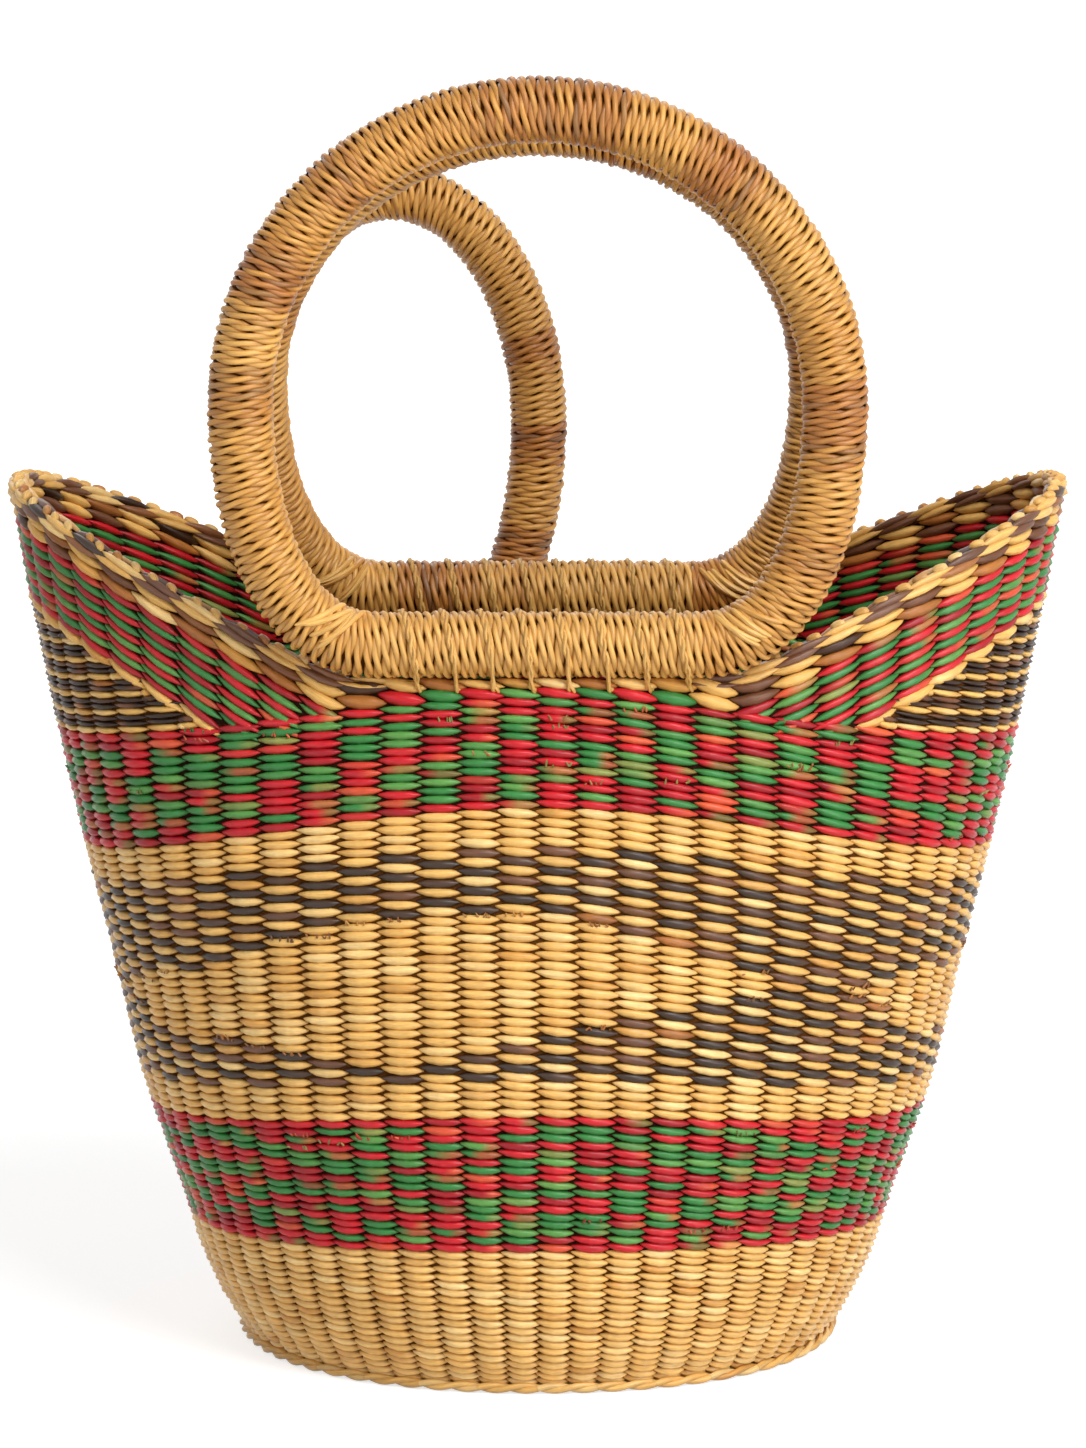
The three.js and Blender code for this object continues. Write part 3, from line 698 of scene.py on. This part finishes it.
# Rows of the wings and the rim
def side_columns(sign, least):
    """Angles and numbers of the columns on one side, from so many degrees off the middle."""
    angles = np.where(COLUMN_ANGLES > math.pi, COLUMN_ANGLES - TURN, COLUMN_ANGLES)
    keep = (np.sign(angles) == sign) & (off_middle(angles) > least)
    return angles[keep], np.arange(COLUMNS)[keep]


def side_span(sign, least):
    """A stretch of one side in radians, from so many degrees off the front to as many off the back."""
    return sorted((sign * math.radians(least), sign * math.radians(180 - least)))


def wing_stitches(side, angles, height_at, pitch, colours, row, **options):
    one, two = colours(row, len(angles))
    return weave(side, angles, height_at, pitch, one, second=two, **options)


def wing_rows(side, angles, rows, colours, low, high, **options):
    """Rows one above another, given as heights and pitches, without the stitches past the edges."""
    groups = []
    for row, (height_at, pitch) in enumerate(rows):
        middle = height_at(angles)
        keep = (middle > low(angles) - 0.75 * pitch) & (middle < high(angles) + 0.3 * pitch)
        if keep.any():
            sunk = 0.9 * eased((low(angles) + 0.5 * pitch - middle) / pitch)[keep]
            groups.append(wing_stitches(side, angles[keep], height_at, pitch, colours, row, sunk=sunk,
                                        **options))
    return groups


def row_ends(side, angles, rows, colours, low, high):
    """Short stitches that fill a row's last half column under a slanted edge."""
    groups = []
    tipward = np.sign(angles) * np.where(np.abs(angles) < math.pi / 2, 1, -1)
    for row, (height_at, pitch) in enumerate(rows):
        for move, span in ((0.3, 0.34), (0.44, 0.16)):
            moved = angles + tipward * move * PITCH
            middle = height_at(moved)
            keep = (height_at(angles) >= high(angles) + 0.3 * pitch) & (middle < high(moved) + 0.6 * pitch)
            keep &= middle > low(moved) - 0.2 * pitch
            if keep.any():
                groups.append(wing_stitches(side, moved[keep], height_at, pitch, colours, row, span=span,
                                            sunk=0.3))
    return groups


def joined(groups):
    """One group from several with strands of the same size."""
    keys = ("points", "tint", "strand")
    return {**groups[0], **{k: np.concatenate([g[k] for g in groups]) for k in keys}}


WING_ROWS = 9
WING_PITCH = (WING_BAND - RIM_PAIR) / WING_ROWS
STRIPE_PITCHES = [2.5, 2.15, 2.15] * 9

# Degrees off the middle of the front or the back
WING_FROM = 21
WING_GROUND_FROM = 22
WEDGE_FROM = 33
WEDGE_ENDS_FROM = 30
WEDGE_GROUND_FROM = 34


def wing_colours(row, count):
    is_red = row % 2 == 0
    one = reds(count) if is_red else greens(count)
    tired = mixed(count, [ORANGE, OLIVE, LIGHT_GREEN], [3, 1, 1])
    return one, np.where(random.uniform(size=(count, 1)) < 0.13, 0.6 * tired + 0.4 * one, one)


def stripe_colours(row, count):
    return (naturals(count), naturals(count)) if row % 3 == 0 else (browns(count), browns(count))


def row_below_crest(row):
    return lambda angle: crest(angle) - RIM_PAIR - (row + 0.5) * WING_PITCH


def row_above_band(height):
    return lambda angle: upper_top(angle) + height


def wedge_high(angle):
    return crest(angle) - WING_BAND - EDGE_ROW


def edge_row_middle(angle):
    return crest(angle) - WING_BAND - 0.35 * EDGE_ROW


def wedge_ground_high(angle):
    return np.maximum(crest(angle) - WING_BAND, upper_top(angle) + 0.2)


dyed_wing_rows = [(row_below_crest(row), WING_PITCH) for row in range(WING_ROWS)]
levels = np.concatenate([[0], np.cumsum(STRIPE_PITCHES)])
stripes = list(zip(map(row_above_band, (levels[1:] + levels[:-1]) / 2), STRIPE_PITCHES))
for sign, side_name in WINGS:
    columns, wedge_columns, end_columns = (
        side_columns(sign, least)[0] for least in (WING_FROM, WEDGE_FROM, WEDGE_ENDS_FROM)
    )
    for side, where in BOTH_SIDES:
        slant = 0.42 if sign * side < 0 else 0.16
        rows = wing_rows(side, columns, dyed_wing_rows, wing_colours, upper_top, crest, slant=slant,
                         fill=1.34)
        ground = sheet(side, lambda a: wing_low(a) - 1, lambda a: rim_low(a) + 1,
                       *side_span(sign, WING_GROUND_FROM), 61, 8, tint=DARK_SHADOW)
        name = f"{side_name}_wing_red_green"
        make_piece(f"{name}_{where}", [joined(rows), ground], dyed_straw, [f"{name}_weft"])

        rows = wing_rows(side, wedge_columns, stripes, stripe_colours, upper_top, wedge_high)
        rows += row_ends(side, end_columns, stripes, stripe_colours, upper_top, wedge_high)
        rows += wing_rows(side, wedge_columns, [(edge_row_middle, EDGE_ROW)], stripe_colours,
                          row_above_band(EDGE_ROW), crest, span=0.63, slant=0.3, peak=3.8)
        ground = sheet(side, upper_top, wedge_ground_high, *side_span(sign, WEDGE_GROUND_FROM), 61, 10)
        name = f"{side_name}_wing_striped"
        make_piece(f"{name}_{where}", [joined(rows), ground], brown_straw, [f"{name}_weft"])


def rim_colours(rows, columns, centres, z):
    count = len(rows)
    even = columns % 2 == 0
    in_wing = off_middle(centres) > WING_START_DEGREES
    lower = rows == 0
    warm = mixed(count, [CARAMEL, MAUVE, BROWN], [3, 2, 0.3])
    dark = mixed(count, [MAUVE, BROWN, CARAMEL], [4, 1.5, 1])
    middle = mixed(count, [CARAMEL, DEEP], [2, 1])
    odd = np.where(lower[:, None], warm, np.where(in_wing[:, None], dark, middle))
    one = np.where(even[:, None], naturals(count), odd)
    dyed = np.where(even[:, None], reds(count), greens(count))
    return np.where((~in_wing & lower)[:, None], dyed, one), None


for side, where in BOTH_SIDES:
    rows = ring_band(rim_low, rim_high, 2, rim_colours, side, span=0.66, slant=0.3, fill=1.24, peak=3.9)
    ground = sheet(side, rim_low, rim_high, levels=4, tint=DARK_SHADOW)
    make_piece(f"rim_row_{where}", [rows, ground], brown_straw, ["rim_row_weft"])


# The rolled braid on the crest
BRAID_FROM_DEGREES = 24
BRAID_ROLLS = (-0.3, 0.66, 2.48, 3.44)
BRAID_LEAN = 0.42
BRAID_PITCH = 3.2
BRAID_CORE = 1.2
BRAID_CORE_DROP = 4.5
KNOB_RADIUS = 1.75
TIP_DEGREES = 84
COVER_TO_DEGREES = 27
COVER_PITCH = 4.4


def braid_size(angle):
    return 0.45 + 0.55 * braid_share(angle)


def rolled(angle, roll):
    """The core of the braid: roll is the angle round it, 0 outside, a quarter turn at the top."""
    size = braid_size(angle)
    point, normal, up = wall_surface(angle, crest(angle) - BRAID_CORE_DROP * size)
    outward = between(roll, normal, up)
    return point + outward * (BRAID_CORE * size)[..., None], outward, between(roll, up, -normal)


def leaning_roll(roll, lean, centres):
    return lambda angle: roll + lean * (angle - centres[:, None]) / PITCH


def braid_rows(angles, columns):
    """Plaited strands in four rows, from the outside of the crest over to the inside."""
    groups = []
    count, size = len(angles), braid_size(angles)
    is_pale = (columns % 2 == 1) | (off_middle(angles) > TIP_DEGREES)
    for row, roll in enumerate(BRAID_ROLLS):
        lean = -BRAID_LEAN if roll < math.pi / 2 else BRAID_LEAN
        pale, dark = naturals(count), mixed(count, [MAUVE, BROWN, CARAMEL], [5, 1, 0.6])
        centres = angles + (0.22 if row in (1, 2) else 0) * PITCH
        groups.append(weave(1, centres, leaning_roll(roll, lean, centres), BRAID_PITCH * size,
                            np.where(is_pale[:, None], pale, dark), surface=rolled, span=0.7, slant=0.0,
                            sag=0.0, peak=3.7))
    return joined(groups)


def knobs(angles):
    """Cut ends turned up on top of the braid."""
    u = np.linspace(-1, 1, 7)[None]
    angle = angles[:, None] + PITCH * (0.14 * u + 0.05 * random.normal(size=(len(angles), 1)))
    size = braid_size(angle)
    point, normal, up = wall_surface(angle, crest(angle) - 2.3 * size)
    out = 0.3 * size + 1.7 * u + 0.4 * random.normal(size=(len(angles), 1))
    centre = point + normal * out[..., None] + up * (0.9 * (1 - u**2))[..., None]
    radius = KNOB_RADIUS * size * np.maximum(1 - u**4, 0.04) ** 0.5
    tint = mixed(len(angles), [PALE, STRAW, DEEP, CARAMEL], [2, 4, 3, 1])
    return round_strands(centre, radius, 8, tint)


for sign, side_name in WINGS:
    angles, columns = side_columns(sign, BRAID_FROM_DEGREES)
    groups = [braid_rows(angles, columns), knobs(np.concatenate([angles, angles + 0.5 * PITCH]))]
    for side in (1, -1):
        groups.append(sheet(side, lambda a: rim_high(a) - 1, lambda a: crest(a) - 4,
                            *side_span(sign, BRAID_FROM_DEGREES), 61, 3, out=1.4))
    make_piece(f"{side_name}_rim_braid_strands", groups, golden_straw, [f"{side_name}_rim_braid"])


def crest_cover(angles):
    """Flat strands that close the top of the rim between the wings."""
    return weave(1, angles, level(math.pi / 2), COVER_PITCH, naturals(len(angles)), surface=rolled,
                 span=0.62, slant=0.0, sag=0.0, peak=1.3)


cover = crest_cover(COLUMN_ANGLES[off_middle(COLUMN_ANGLES) <= COVER_TO_DEGREES])
make_piece("rim_edge_strands", [cover], golden_straw, ["rim_row_weft"])


# Base and foot rope
BASE_PITCH = 3.4
BASE_RINGS = (
    ((4.2, 7.4), 8),
    (np.arange(10.8, 26, BASE_PITCH), 16),
    (np.arange(27.6, 58, BASE_PITCH), 32),
    (np.arange(58.2, 110, BASE_PITCH), COLUMNS),
)
BASE_GROUND_FROM = 0.5
BASE_GROUND_TO = 109
ROPE_TURNS = 32
ROPE_MIDDLE = 2.4
ROPE_WALL_HEIGHT = 2.1
ROPE_OUT = 6.2
ROPE_TWIST = 0.95
ROPE_PLY_RADIUS = 1.25


def base_rows(side):
    """Rings of stitches, whose columns double in number three times on the way out."""
    groups = []
    for radii, columns in BASE_RINGS:
        for row, radius in enumerate(radii):
            shift = 0.5 * (row % 2) * (columns < COLUMNS)
            centres = (np.arange(columns) + 0.5 + shift) * TURN / columns
            groups.append(weave(side, centres, level(radius), BASE_PITCH, naturals(columns), columns=columns,
                                surface=floor_surface, peak=2.7))
    ground = sheet(side, level(BASE_GROUND_FROM), level(BASE_GROUND_TO), surface=floor_surface, stations=65)
    return [joined(groups), ground]


make_piece("base_underside", base_rows(1), pale_straw, ["base_weft"])
make_piece("base_inside", base_rows(-1), pale_straw, ["base_weft"])


def rope_strands():
    """Two plies round the foot, in lengths of one twist each."""
    count = 2 * ROPE_TURNS
    u = np.linspace(0, 1, 17)[None]
    ply = np.arange(count)[:, None]
    angle = (ply // 2 + u) * TURN / ROPE_TURNS
    twist = u * TURN + (ply % 2) * math.pi
    z = ROPE_MIDDLE + ROPE_TWIST * np.sin(twist)
    reach = half_width(np.array(ROPE_WALL_HEIGHT)) * swelling(angle) + ROPE_OUT + ROPE_TWIST * np.cos(twist)
    centre = np.stack([reach * np.sin(angle), -reach * np.cos(angle), z], -1)
    return round_strands(centre, ROPE_PLY_RADIUS, 9, naturals(count))


make_piece("foot_rope_strands", [rope_strands()], golden_straw, ["foot_rope"])


# Ring handles and hanging loop, wound with two-ply cord. width and straight are half the hoop's and the bar's
# width, corner and limb pull the curve between them, and tan is how dark the cord is. A darker patch has a
# middle and a half width, in degrees round the hoop, and a strength.
HANDLE = dict(width=111.4, rise=111.4, drop=90.8, straight=62, corner=92, limb=38, wrap=12.8, tan=1.0)
FRONT_HANDLE = dict(HANDLE, place=np.array([0, -114, 290.1]), lean=0.0, patches=[
    (1, 14, 0.75), (39, 6, 0.95), (93, 9, 0.8), (-41, 5, 0.7), (-64, 6, 0.85), (-87, 6, 0.55), (118, 4, 0.5),
])
REAR_HANDLE = dict(HANDLE, place=np.array([0, 91, 276.6]), lean=math.radians(16.5), patches=[
    (-151, 4, 0.9), (-158, 5, 0.85), (-177, 3, 0.7), (139, 6, 0.8), (20, 8, 0.7), (-70, 8, 0.6), (80, 7, 0.7),
])
LOOP = dict(width=59.4, rise=93.6, drop=88, straight=24, corner=45, limb=45, wrap=11.7, tan=0.7,
            place=np.array([-59.19, 138.8, 250]), lean=0.0,
            patches=[(62, 7, 0.8), (96, 7, 0.85), (138, 12, 0.8), (-20, 8, 0.6), (-75, 9, 0.7)])
RING_PARTS = ("bar", "left_corner", "hoop", "right_corner")
TURN_PITCH = 3.3
TURN_LENGTH = 70.0
TURN_STATIONS = 41
TONE_TURNS = 7
WRAP_RADIUS = 11
PLY_PITCH = 23
PLY_RADIUS = 1.2
PLY_SECTION = np.radians([-100, -50, 0, 50, 100])
# Painted shade at the sides of a ply's section, and a painted highlight on its top
PLY_SHADE_AND_HIGHLIGHT = np.array([0.42, 0.9, 1.05, 0.94, 0.48])
CORD_GIRTH = 4.0
CROSSING_STRANDS = 5
CROSSING_INSET = 12


def ring_outline(ring):
    """The ring's path in its own plane, the length up to each point, and where each part starts and ends."""
    t = np.linspace(0, 1, 161)[:, None]
    start, end = np.array([-ring["straight"], 0]), np.array([-ring["width"], ring["drop"]])
    pull, limb = np.array([-ring["corner"], 0]), np.array([-ring["width"], ring["limb"]])
    corner = (1 - t) ** 3 * start + 3 * (1 - t) ** 2 * t * pull + 3 * (1 - t) * t**2 * limb + t**3 * end
    sweep = np.linspace(-math.pi / 2, math.pi / 2, 321)
    hoop = np.stack([ring["width"] * np.sin(sweep), ring["drop"] + ring["rise"] * np.cos(sweep)], -1)
    bar = np.linspace([ring["straight"], 0], [-ring["straight"], 0], 81)
    other = (corner * [-1, 1])[::-1]
    parts = [bar, corner[1:], hoop[1:], other[1:]]
    path = np.concatenate(parts)
    length = np.concatenate([[0], np.cumsum(np.linalg.norm(np.diff(path, axis=0), axis=1))])
    ends = length[np.cumsum([len(p) for p in parts]) - 1]
    return path, length, dict(zip(RING_PARTS, zip(np.concatenate([[0], ends[:-1]]), ends)))


def in_space(flat, place, lean):
    """From the ring's plane to the room: place is the middle of its bar."""
    x = place[0] + flat[..., 0]
    y = place[1] - flat[..., 1] * math.sin(lean)
    z = place[2] + flat[..., 1] * math.cos(lean)
    return np.stack([x, y, z], -1)


def ring_frame(ring, s):
    """Points at lengths s along the ring, with the directions ahead, outward and to the front."""
    path, length, _ = ring["outline"]
    place, lean = ring["place"], ring["lean"]
    tangents = unit(np.gradient(path, length, axis=0))
    flat = np.stack([np.interp(s, length, path[:, i]) for i in (0, 1)], -1)
    ahead = unit(np.stack([np.interp(s, length, tangents[:, i]) for i in (0, 1)], -1))
    outward = np.stack([-ahead[..., 1], ahead[..., 0]], -1)
    zero = np.zeros(3)
    facing = np.array([0, -math.cos(lean), -math.sin(lean)])
    return (in_space(flat, place, lean), in_space(ahead, zero, lean), in_space(outward, zero, lean),
            np.broadcast_to(facing, (*s.shape, 3)), flat)


def patch_strength(around, patches):
    darker = np.zeros(around.shape)
    for middle, half, strength in patches:
        away = np.abs((around - middle + 180) % 360 - 180)
        darker = np.maximum(darker, strength * eased((half + 3 - away) / 6))
    return darker


def cord_colour(ring, part, flat, progress, turns):
    """Colour along each ply: straw that tans and pales every few turns, and darker patches."""
    around = np.degrees(np.arctan2(flat[..., 0], flat[..., 1] - ring["drop"]))
    ragged = np.repeat(random.normal(0, 1.5, turns), 2)[:, None]
    darker = patch_strength(around + ragged, ring["patches"])[..., None]
    knots = np.arange(0, turns + TONE_TURNS + 1, TONE_TURNS)
    tone = np.interp(progress, knots, random.uniform(0, 1, len(knots)))
    least, most = (0.0, 0.35) if part == "bar" else (0.25, 1.0)
    tone = (least + (most - least) * tone * ring["tan"])[..., None]
    base = (STRAW * (1 - tone) + DEEP * tone) * random.uniform(0.94, 1.06, (len(progress), 1, 1))
    deep = mixed(len(progress), [CARAMEL, MAUVE, DEEP], [6, 1, 1.2])
    return base * (1 - darker) + deep[:, None] * darker


def ring_ground(ring, start, end):
    """The shaded tube beneath a wrapped length."""
    s = np.linspace(start, end, max(9, round((end - start) / 6)))[:, None]
    angle = np.linspace(0, TURN, 25)[None]
    centre, _, outward, facing, _ = ring_frame(ring, s + 0 * angle)
    points = (centre + between(angle, outward, facing) * (ring["wrap"] - 2.3))[None, ::-1]
    strand = (s[None], angle[None] * WRAP_RADIUS, 0)
    return strand_group(points, np.broadcast_to(SHADOW, points.shape), strand, GROUND_SIZE, shade_sheet=True)


def wound(ring, part):
    """A wrapped length of a ring: one strand for each ply of each turn, and the ground beneath."""
    start, end = ring["outline"][2][part]
    turns = round((end - start) / TURN_PITCH)
    turn = np.repeat(np.arange(turns), 2)[:, None]
    ply = np.tile([0, 1], turns)[:, None]
    progress = turn + np.linspace(0, 1, TURN_STATIONS)[None]
    s = start + (end - start) * progress / turns
    centre, ahead, outward, facing, flat = ring_frame(ring, s)
    radial = between(-math.pi / 2 + progress * TURN, outward, facing)
    drift = np.interp(progress, np.arange(0, turns + 2), random.normal(0, 0.9, turns + 2))
    loose = np.interp(progress, np.arange(0, turns + 2, 0.5), random.normal(0, 0.12, 2 * (turns + 2)))
    twist = progress * TURN * (TURN * WRAP_RADIUS / PLY_PITCH) + drift + ply * math.pi
    cord = ring["wrap"] - 1.75 + loose
    middle = centre + radial * (cord + 0.6 * np.cos(twist))[..., None]
    middle = middle + ahead * (0.9 * np.sin(twist) + loose)[..., None]
    points = middle[:, :, None] + PLY_RADIUS * between(PLY_SECTION, radial[:, :, None], ahead[:, :, None])
    colour = cord_colour(ring, part, flat, progress, turns)
    # Painted shade: a ply darkens where its twist takes it in under the other ply
    depth = 0.5 + 0.53 * (np.cos(twist) * 0.5 + 0.5)
    tint = shaded(colour[:, :, None], (depth[..., None] * PLY_SHADE_AND_HIGHLIGHT)[..., None])
    grain = random.uniform(0, GRAIN_SHIFT, (len(turn), 1, 1))
    strand = ((progress * TURN_LENGTH)[..., None], PLY_SECTION * PLY_RADIUS, grain)
    threads = strand_group(points, tint, strand, (TURN_LENGTH, CORD_GIRTH))
    return [threads, ring_ground(ring, start, end)]


def crossing(ring, at, way):
    """Thick strands that cross over the turns where the hoop meets the bar."""
    count = CROSSING_STRANDS
    u = np.linspace(0, 1, 21)[None]
    k = np.arange(count)[:, None]
    loose = random.uniform(-1, 1, (count, 4, 1))
    reach = 12 + 5 * loose[:, 0]
    s = at + way * (k * 3.1 + 1.5 * loose[:, 1] - reach * (u - 0.5))
    angle = np.radians(72 + 12 * loose[:, 2] + (100 + 18 * loose[:, 3]) * u)
    centre, _, outward, facing, _ = ring_frame(ring, s)
    radial = between(angle, outward, facing)
    lift = ring["wrap"] - 0.75 + 0.25 * np.sin(u * math.pi) + 0.1 * loose[:, 0]
    thick = 1.25 * np.maximum(1 - np.abs(2 * u - 1) ** 6, 0.08) ** 0.5
    tint = mixed(count, [STRAW, DEEP], [3, 1])
    return round_strands(centre + radial * lift[..., None], thick, 9, tint, facing=radial)


for body, ring in (("front_handle", FRONT_HANDLE), ("rear_handle", REAR_HANDLE), ("hanging_loop", LOOP)):
    ring["outline"] = ring_outline(ring)
    for part in RING_PARTS:
        groups = wound(ring, part)
        start, end = ring["outline"][2][part]
        if part == "left_corner":
            groups.append(crossing(ring, start + CROSSING_INSET, 1))
        if part == "right_corner":
            groups.append(crossing(ring, end - CROSSING_INSET, -1))
        straw = pale_straw if part == "bar" else golden_straw
        make_piece(f"{body}_{part}_cord", groups, straw, [f"{body}_{part}_wrap"], body)


# Lashing cords, each one unbroken path round its bar and through the wall
CORD_STEPS = 24
HANDLE_TURNS = 8
LOOP_TURNS = 2
REAR_COLUMN = 32
LOOP_COLUMN = 36
LASHING_PLY_RADIUS = 0.78
LASHING_PITCH = 12


def belt_point(circles, out):
    """Where a belt round several circles (y, z, radius) faces the direction out."""
    reach = [y * out[0] + z * out[1] + r for y, z, r in circles]
    y, z, r = circles[int(np.argmax(reach))]
    return y + r * out[0], z + r * out[1]


def wall_place(angle, z):
    x, y, _ = wall(np.array(angle), np.array(float(z)))
    return float(x), float(y)


def front_belt(angle):
    return (*FRONT_HANDLE["place"][1:], 12.7), (wall_place(angle, CREST)[1], 277.15, 4.45)


def rear_belt(angle):
    return (*REAR_HANDLE["place"][1:], 12.5), (wall_place(angle, 264)[1] - 2.3, 271.7, 7.7)


def loop_belt(angle):
    return (*LOOP["place"][1:], 11.6), (wall_place(angle, 250)[1] - 1.85, 250, 2.6)


def lashing(name, belt, seam, turns, height, start):
    """A two-ply cord. seam gives the column that it has come to after so many turns."""
    path, outs = [], []
    for step in range(turns * CORD_STEPS + 1):
        turn = step / CORD_STEPS
        around = start + turn * TURN
        out = (math.cos(around), math.sin(around))
        angle = seam(turn) * PITCH
        y, z = belt_point(belt(angle), out)
        path.append((wall_place(angle, height)[0], y, z))
        outs.append((0, *out))
    coarse = np.arange(len(path))
    fine = np.linspace(0, coarse[-1], 2 * turns * CORD_STEPS + 1)
    path = np.stack([np.interp(fine, coarse, values) for values in zip(*path)], -1)
    outs = unit(np.stack([np.interp(fine, coarse, values) for values in zip(*outs)], -1))
    ahead = unit(np.gradient(path, axis=0))
    across = unit(np.cross(ahead, outs))
    travel = np.concatenate([[0], np.cumsum(np.linalg.norm(np.diff(path, axis=0), axis=1))])
    plies = []
    for ply in (0, math.pi):
        twist = travel / LASHING_PITCH * TURN + ply
        plies.append(path + outs * (0.5 * np.cos(twist))[:, None] + across * (0.7 * np.sin(twist))[:, None])
    centre = np.array(plies)
    facing = np.broadcast_to(outs, centre.shape)
    tint = mixed(2, [STRAW, DEEP], [1, 1]) * 0.85
    group = round_strands(centre, LASHING_PLY_RADIUS, 8, tint, facing=facing)
    group["size"] = (float(travel[-1]), CORD_GIRTH)
    make_piece(f"{name}_cord", [group], pale_straw, [name])


lashing("front_lashing", front_belt, lambda t: t - HANDLE_TURNS / 2, HANDLE_TURNS, CREST, -math.pi / 2)
lashing("rear_lashing", rear_belt, lambda t: REAR_COLUMN + HANDLE_TURNS / 2 - t, HANDLE_TURNS, CREST,
        -math.pi / 2)
lashing("loop_lashing", loop_belt, lambda t: LOOP_COLUMN + LOOP_TURNS / 2 - t, LOOP_TURNS, 250, math.pi)


# Camera, floor and light, in metres
CAMERA_PLACE = (0.002, -3.4, 0.85)
AIM_HEIGHT = 0.2393
FLOOR_LIGHT, FLOOR_LIGHT_SEEN = 0.85, 0.55
LIFT_FROM, LIFT_TO, LIFT_NEAR = 0.5, 1.6, 0.73
WORLD_LIGHT = 0.28
WHITE = (1, 1, 1, 1)

camera = bpy.data.objects.new("camera", bpy.data.cameras.new("camera"))
camera.data.sensor_fit = "HORIZONTAL"
camera.data.sensor_width = 36
camera.data.lens = 293.6
camera.location = CAMERA_PLACE
camera.rotation_euler = (math.pi / 2 - math.atan2(CAMERA_PLACE[2] - AIM_HEIGHT, -CAMERA_PLACE[1]), 0, 0)
bpy.context.scene.collection.objects.link(camera)
bpy.context.scene.camera = camera


def background_share(tree):
    """1 where the camera, a mirror or glass looks straight at the background."""
    path = new_node(tree, "LightPath")
    total = path.outputs["Is Camera Ray"]
    for ray in ("Is Glossy Ray", "Is Transmission Ray"):
        both = {0: total, 1: path.outputs[ray]}
        total = new_node(tree, "Math", both, operation="ADD", use_clamp=True).outputs[0]
    return total


mesh = bpy.data.meshes.new("floor")
mesh.from_pydata([(-6, -4, 0), (6, -4, 0), (6, 8, 0), (-6, 8, 0)], [], [(0, 1, 2, 3)])
floor = bpy.data.objects.new("floor", mesh)
bpy.context.scene.collection.objects.link(floor)
material, tree, shader = new_material("floor")
tree.nodes.remove(shader)
floor_light = ranged(tree, background_share(tree), 0, 1, FLOOR_LIGHT, FLOOR_LIGHT_SEEN)
diffuse = new_node(tree, "BsdfDiffuse", {"Color": floor_light})
distance = new_node(tree, "VectorMath", {0: object_place(tree)}, operation="LENGTH").outputs["Value"]
lifted = ranged(tree, distance, LIFT_FROM, LIFT_TO, LIFT_NEAR, 1.0)
strength = new_node(tree, "Math", {0: background_share(tree), 1: lifted}, operation="MULTIPLY")
lift = new_node(tree, "Emission", {"Color": WHITE, "Strength": strength.outputs[0]})
both = new_node(tree, "AddShader", {0: diffuse.outputs[0], 1: lift.outputs[0]})
set_inputs(tree, tree.nodes["Material Output"], {"Surface": both.outputs[0]})
mesh.materials.append(material)

world = bpy.data.worlds.new("world")
bpy.context.scene.world = world
world.use_nodes = True
tree = world.node_tree
plain_light = set_inputs(tree, tree.nodes["Background"], {"Color": WHITE, "Strength": WORLD_LIGHT})
white = new_node(tree, "Background", {"Color": WHITE, "Strength": 1.0})
choose = {0: background_share(tree), 1: plain_light.outputs[0], 2: white.outputs[0]}
seen = new_node(tree, "MixShader", choose)
set_inputs(tree, tree.nodes["World Output"], {"Surface": seen.outputs[0]})


def area_light(name, place, aim, size, power):
    light = bpy.data.objects.new(name, bpy.data.lights.new(name, "AREA"))
    light.data.size = size
    light.data.energy = power
    light.location = place
    direction = np.array(place) - np.array(aim)
    yaw = math.atan2(direction[0], -direction[1])
    pitch = math.atan2(math.hypot(direction[0], direction[1]), direction[2])
    light.rotation_euler = (pitch, 0, yaw)
    bpy.context.scene.collection.objects.link(light)


area_light("key", (1.1, -1.8, 2.4), (0, 0, 0.2), 1.6, 69)
area_light("side", (2.2, -1.8, 0.8), (0, 0, 0.15), 1.6, 30)
area_light("fill", (-1.9, -1.8, 1.1), (0, 0, 0.2), 1.8, 9)
area_light("back", (-0.6, 2.4, 1.9), (0, 0, 0.2), 1.6, 14)

bpy.context.scene.view_settings.view_transform = "Standard"
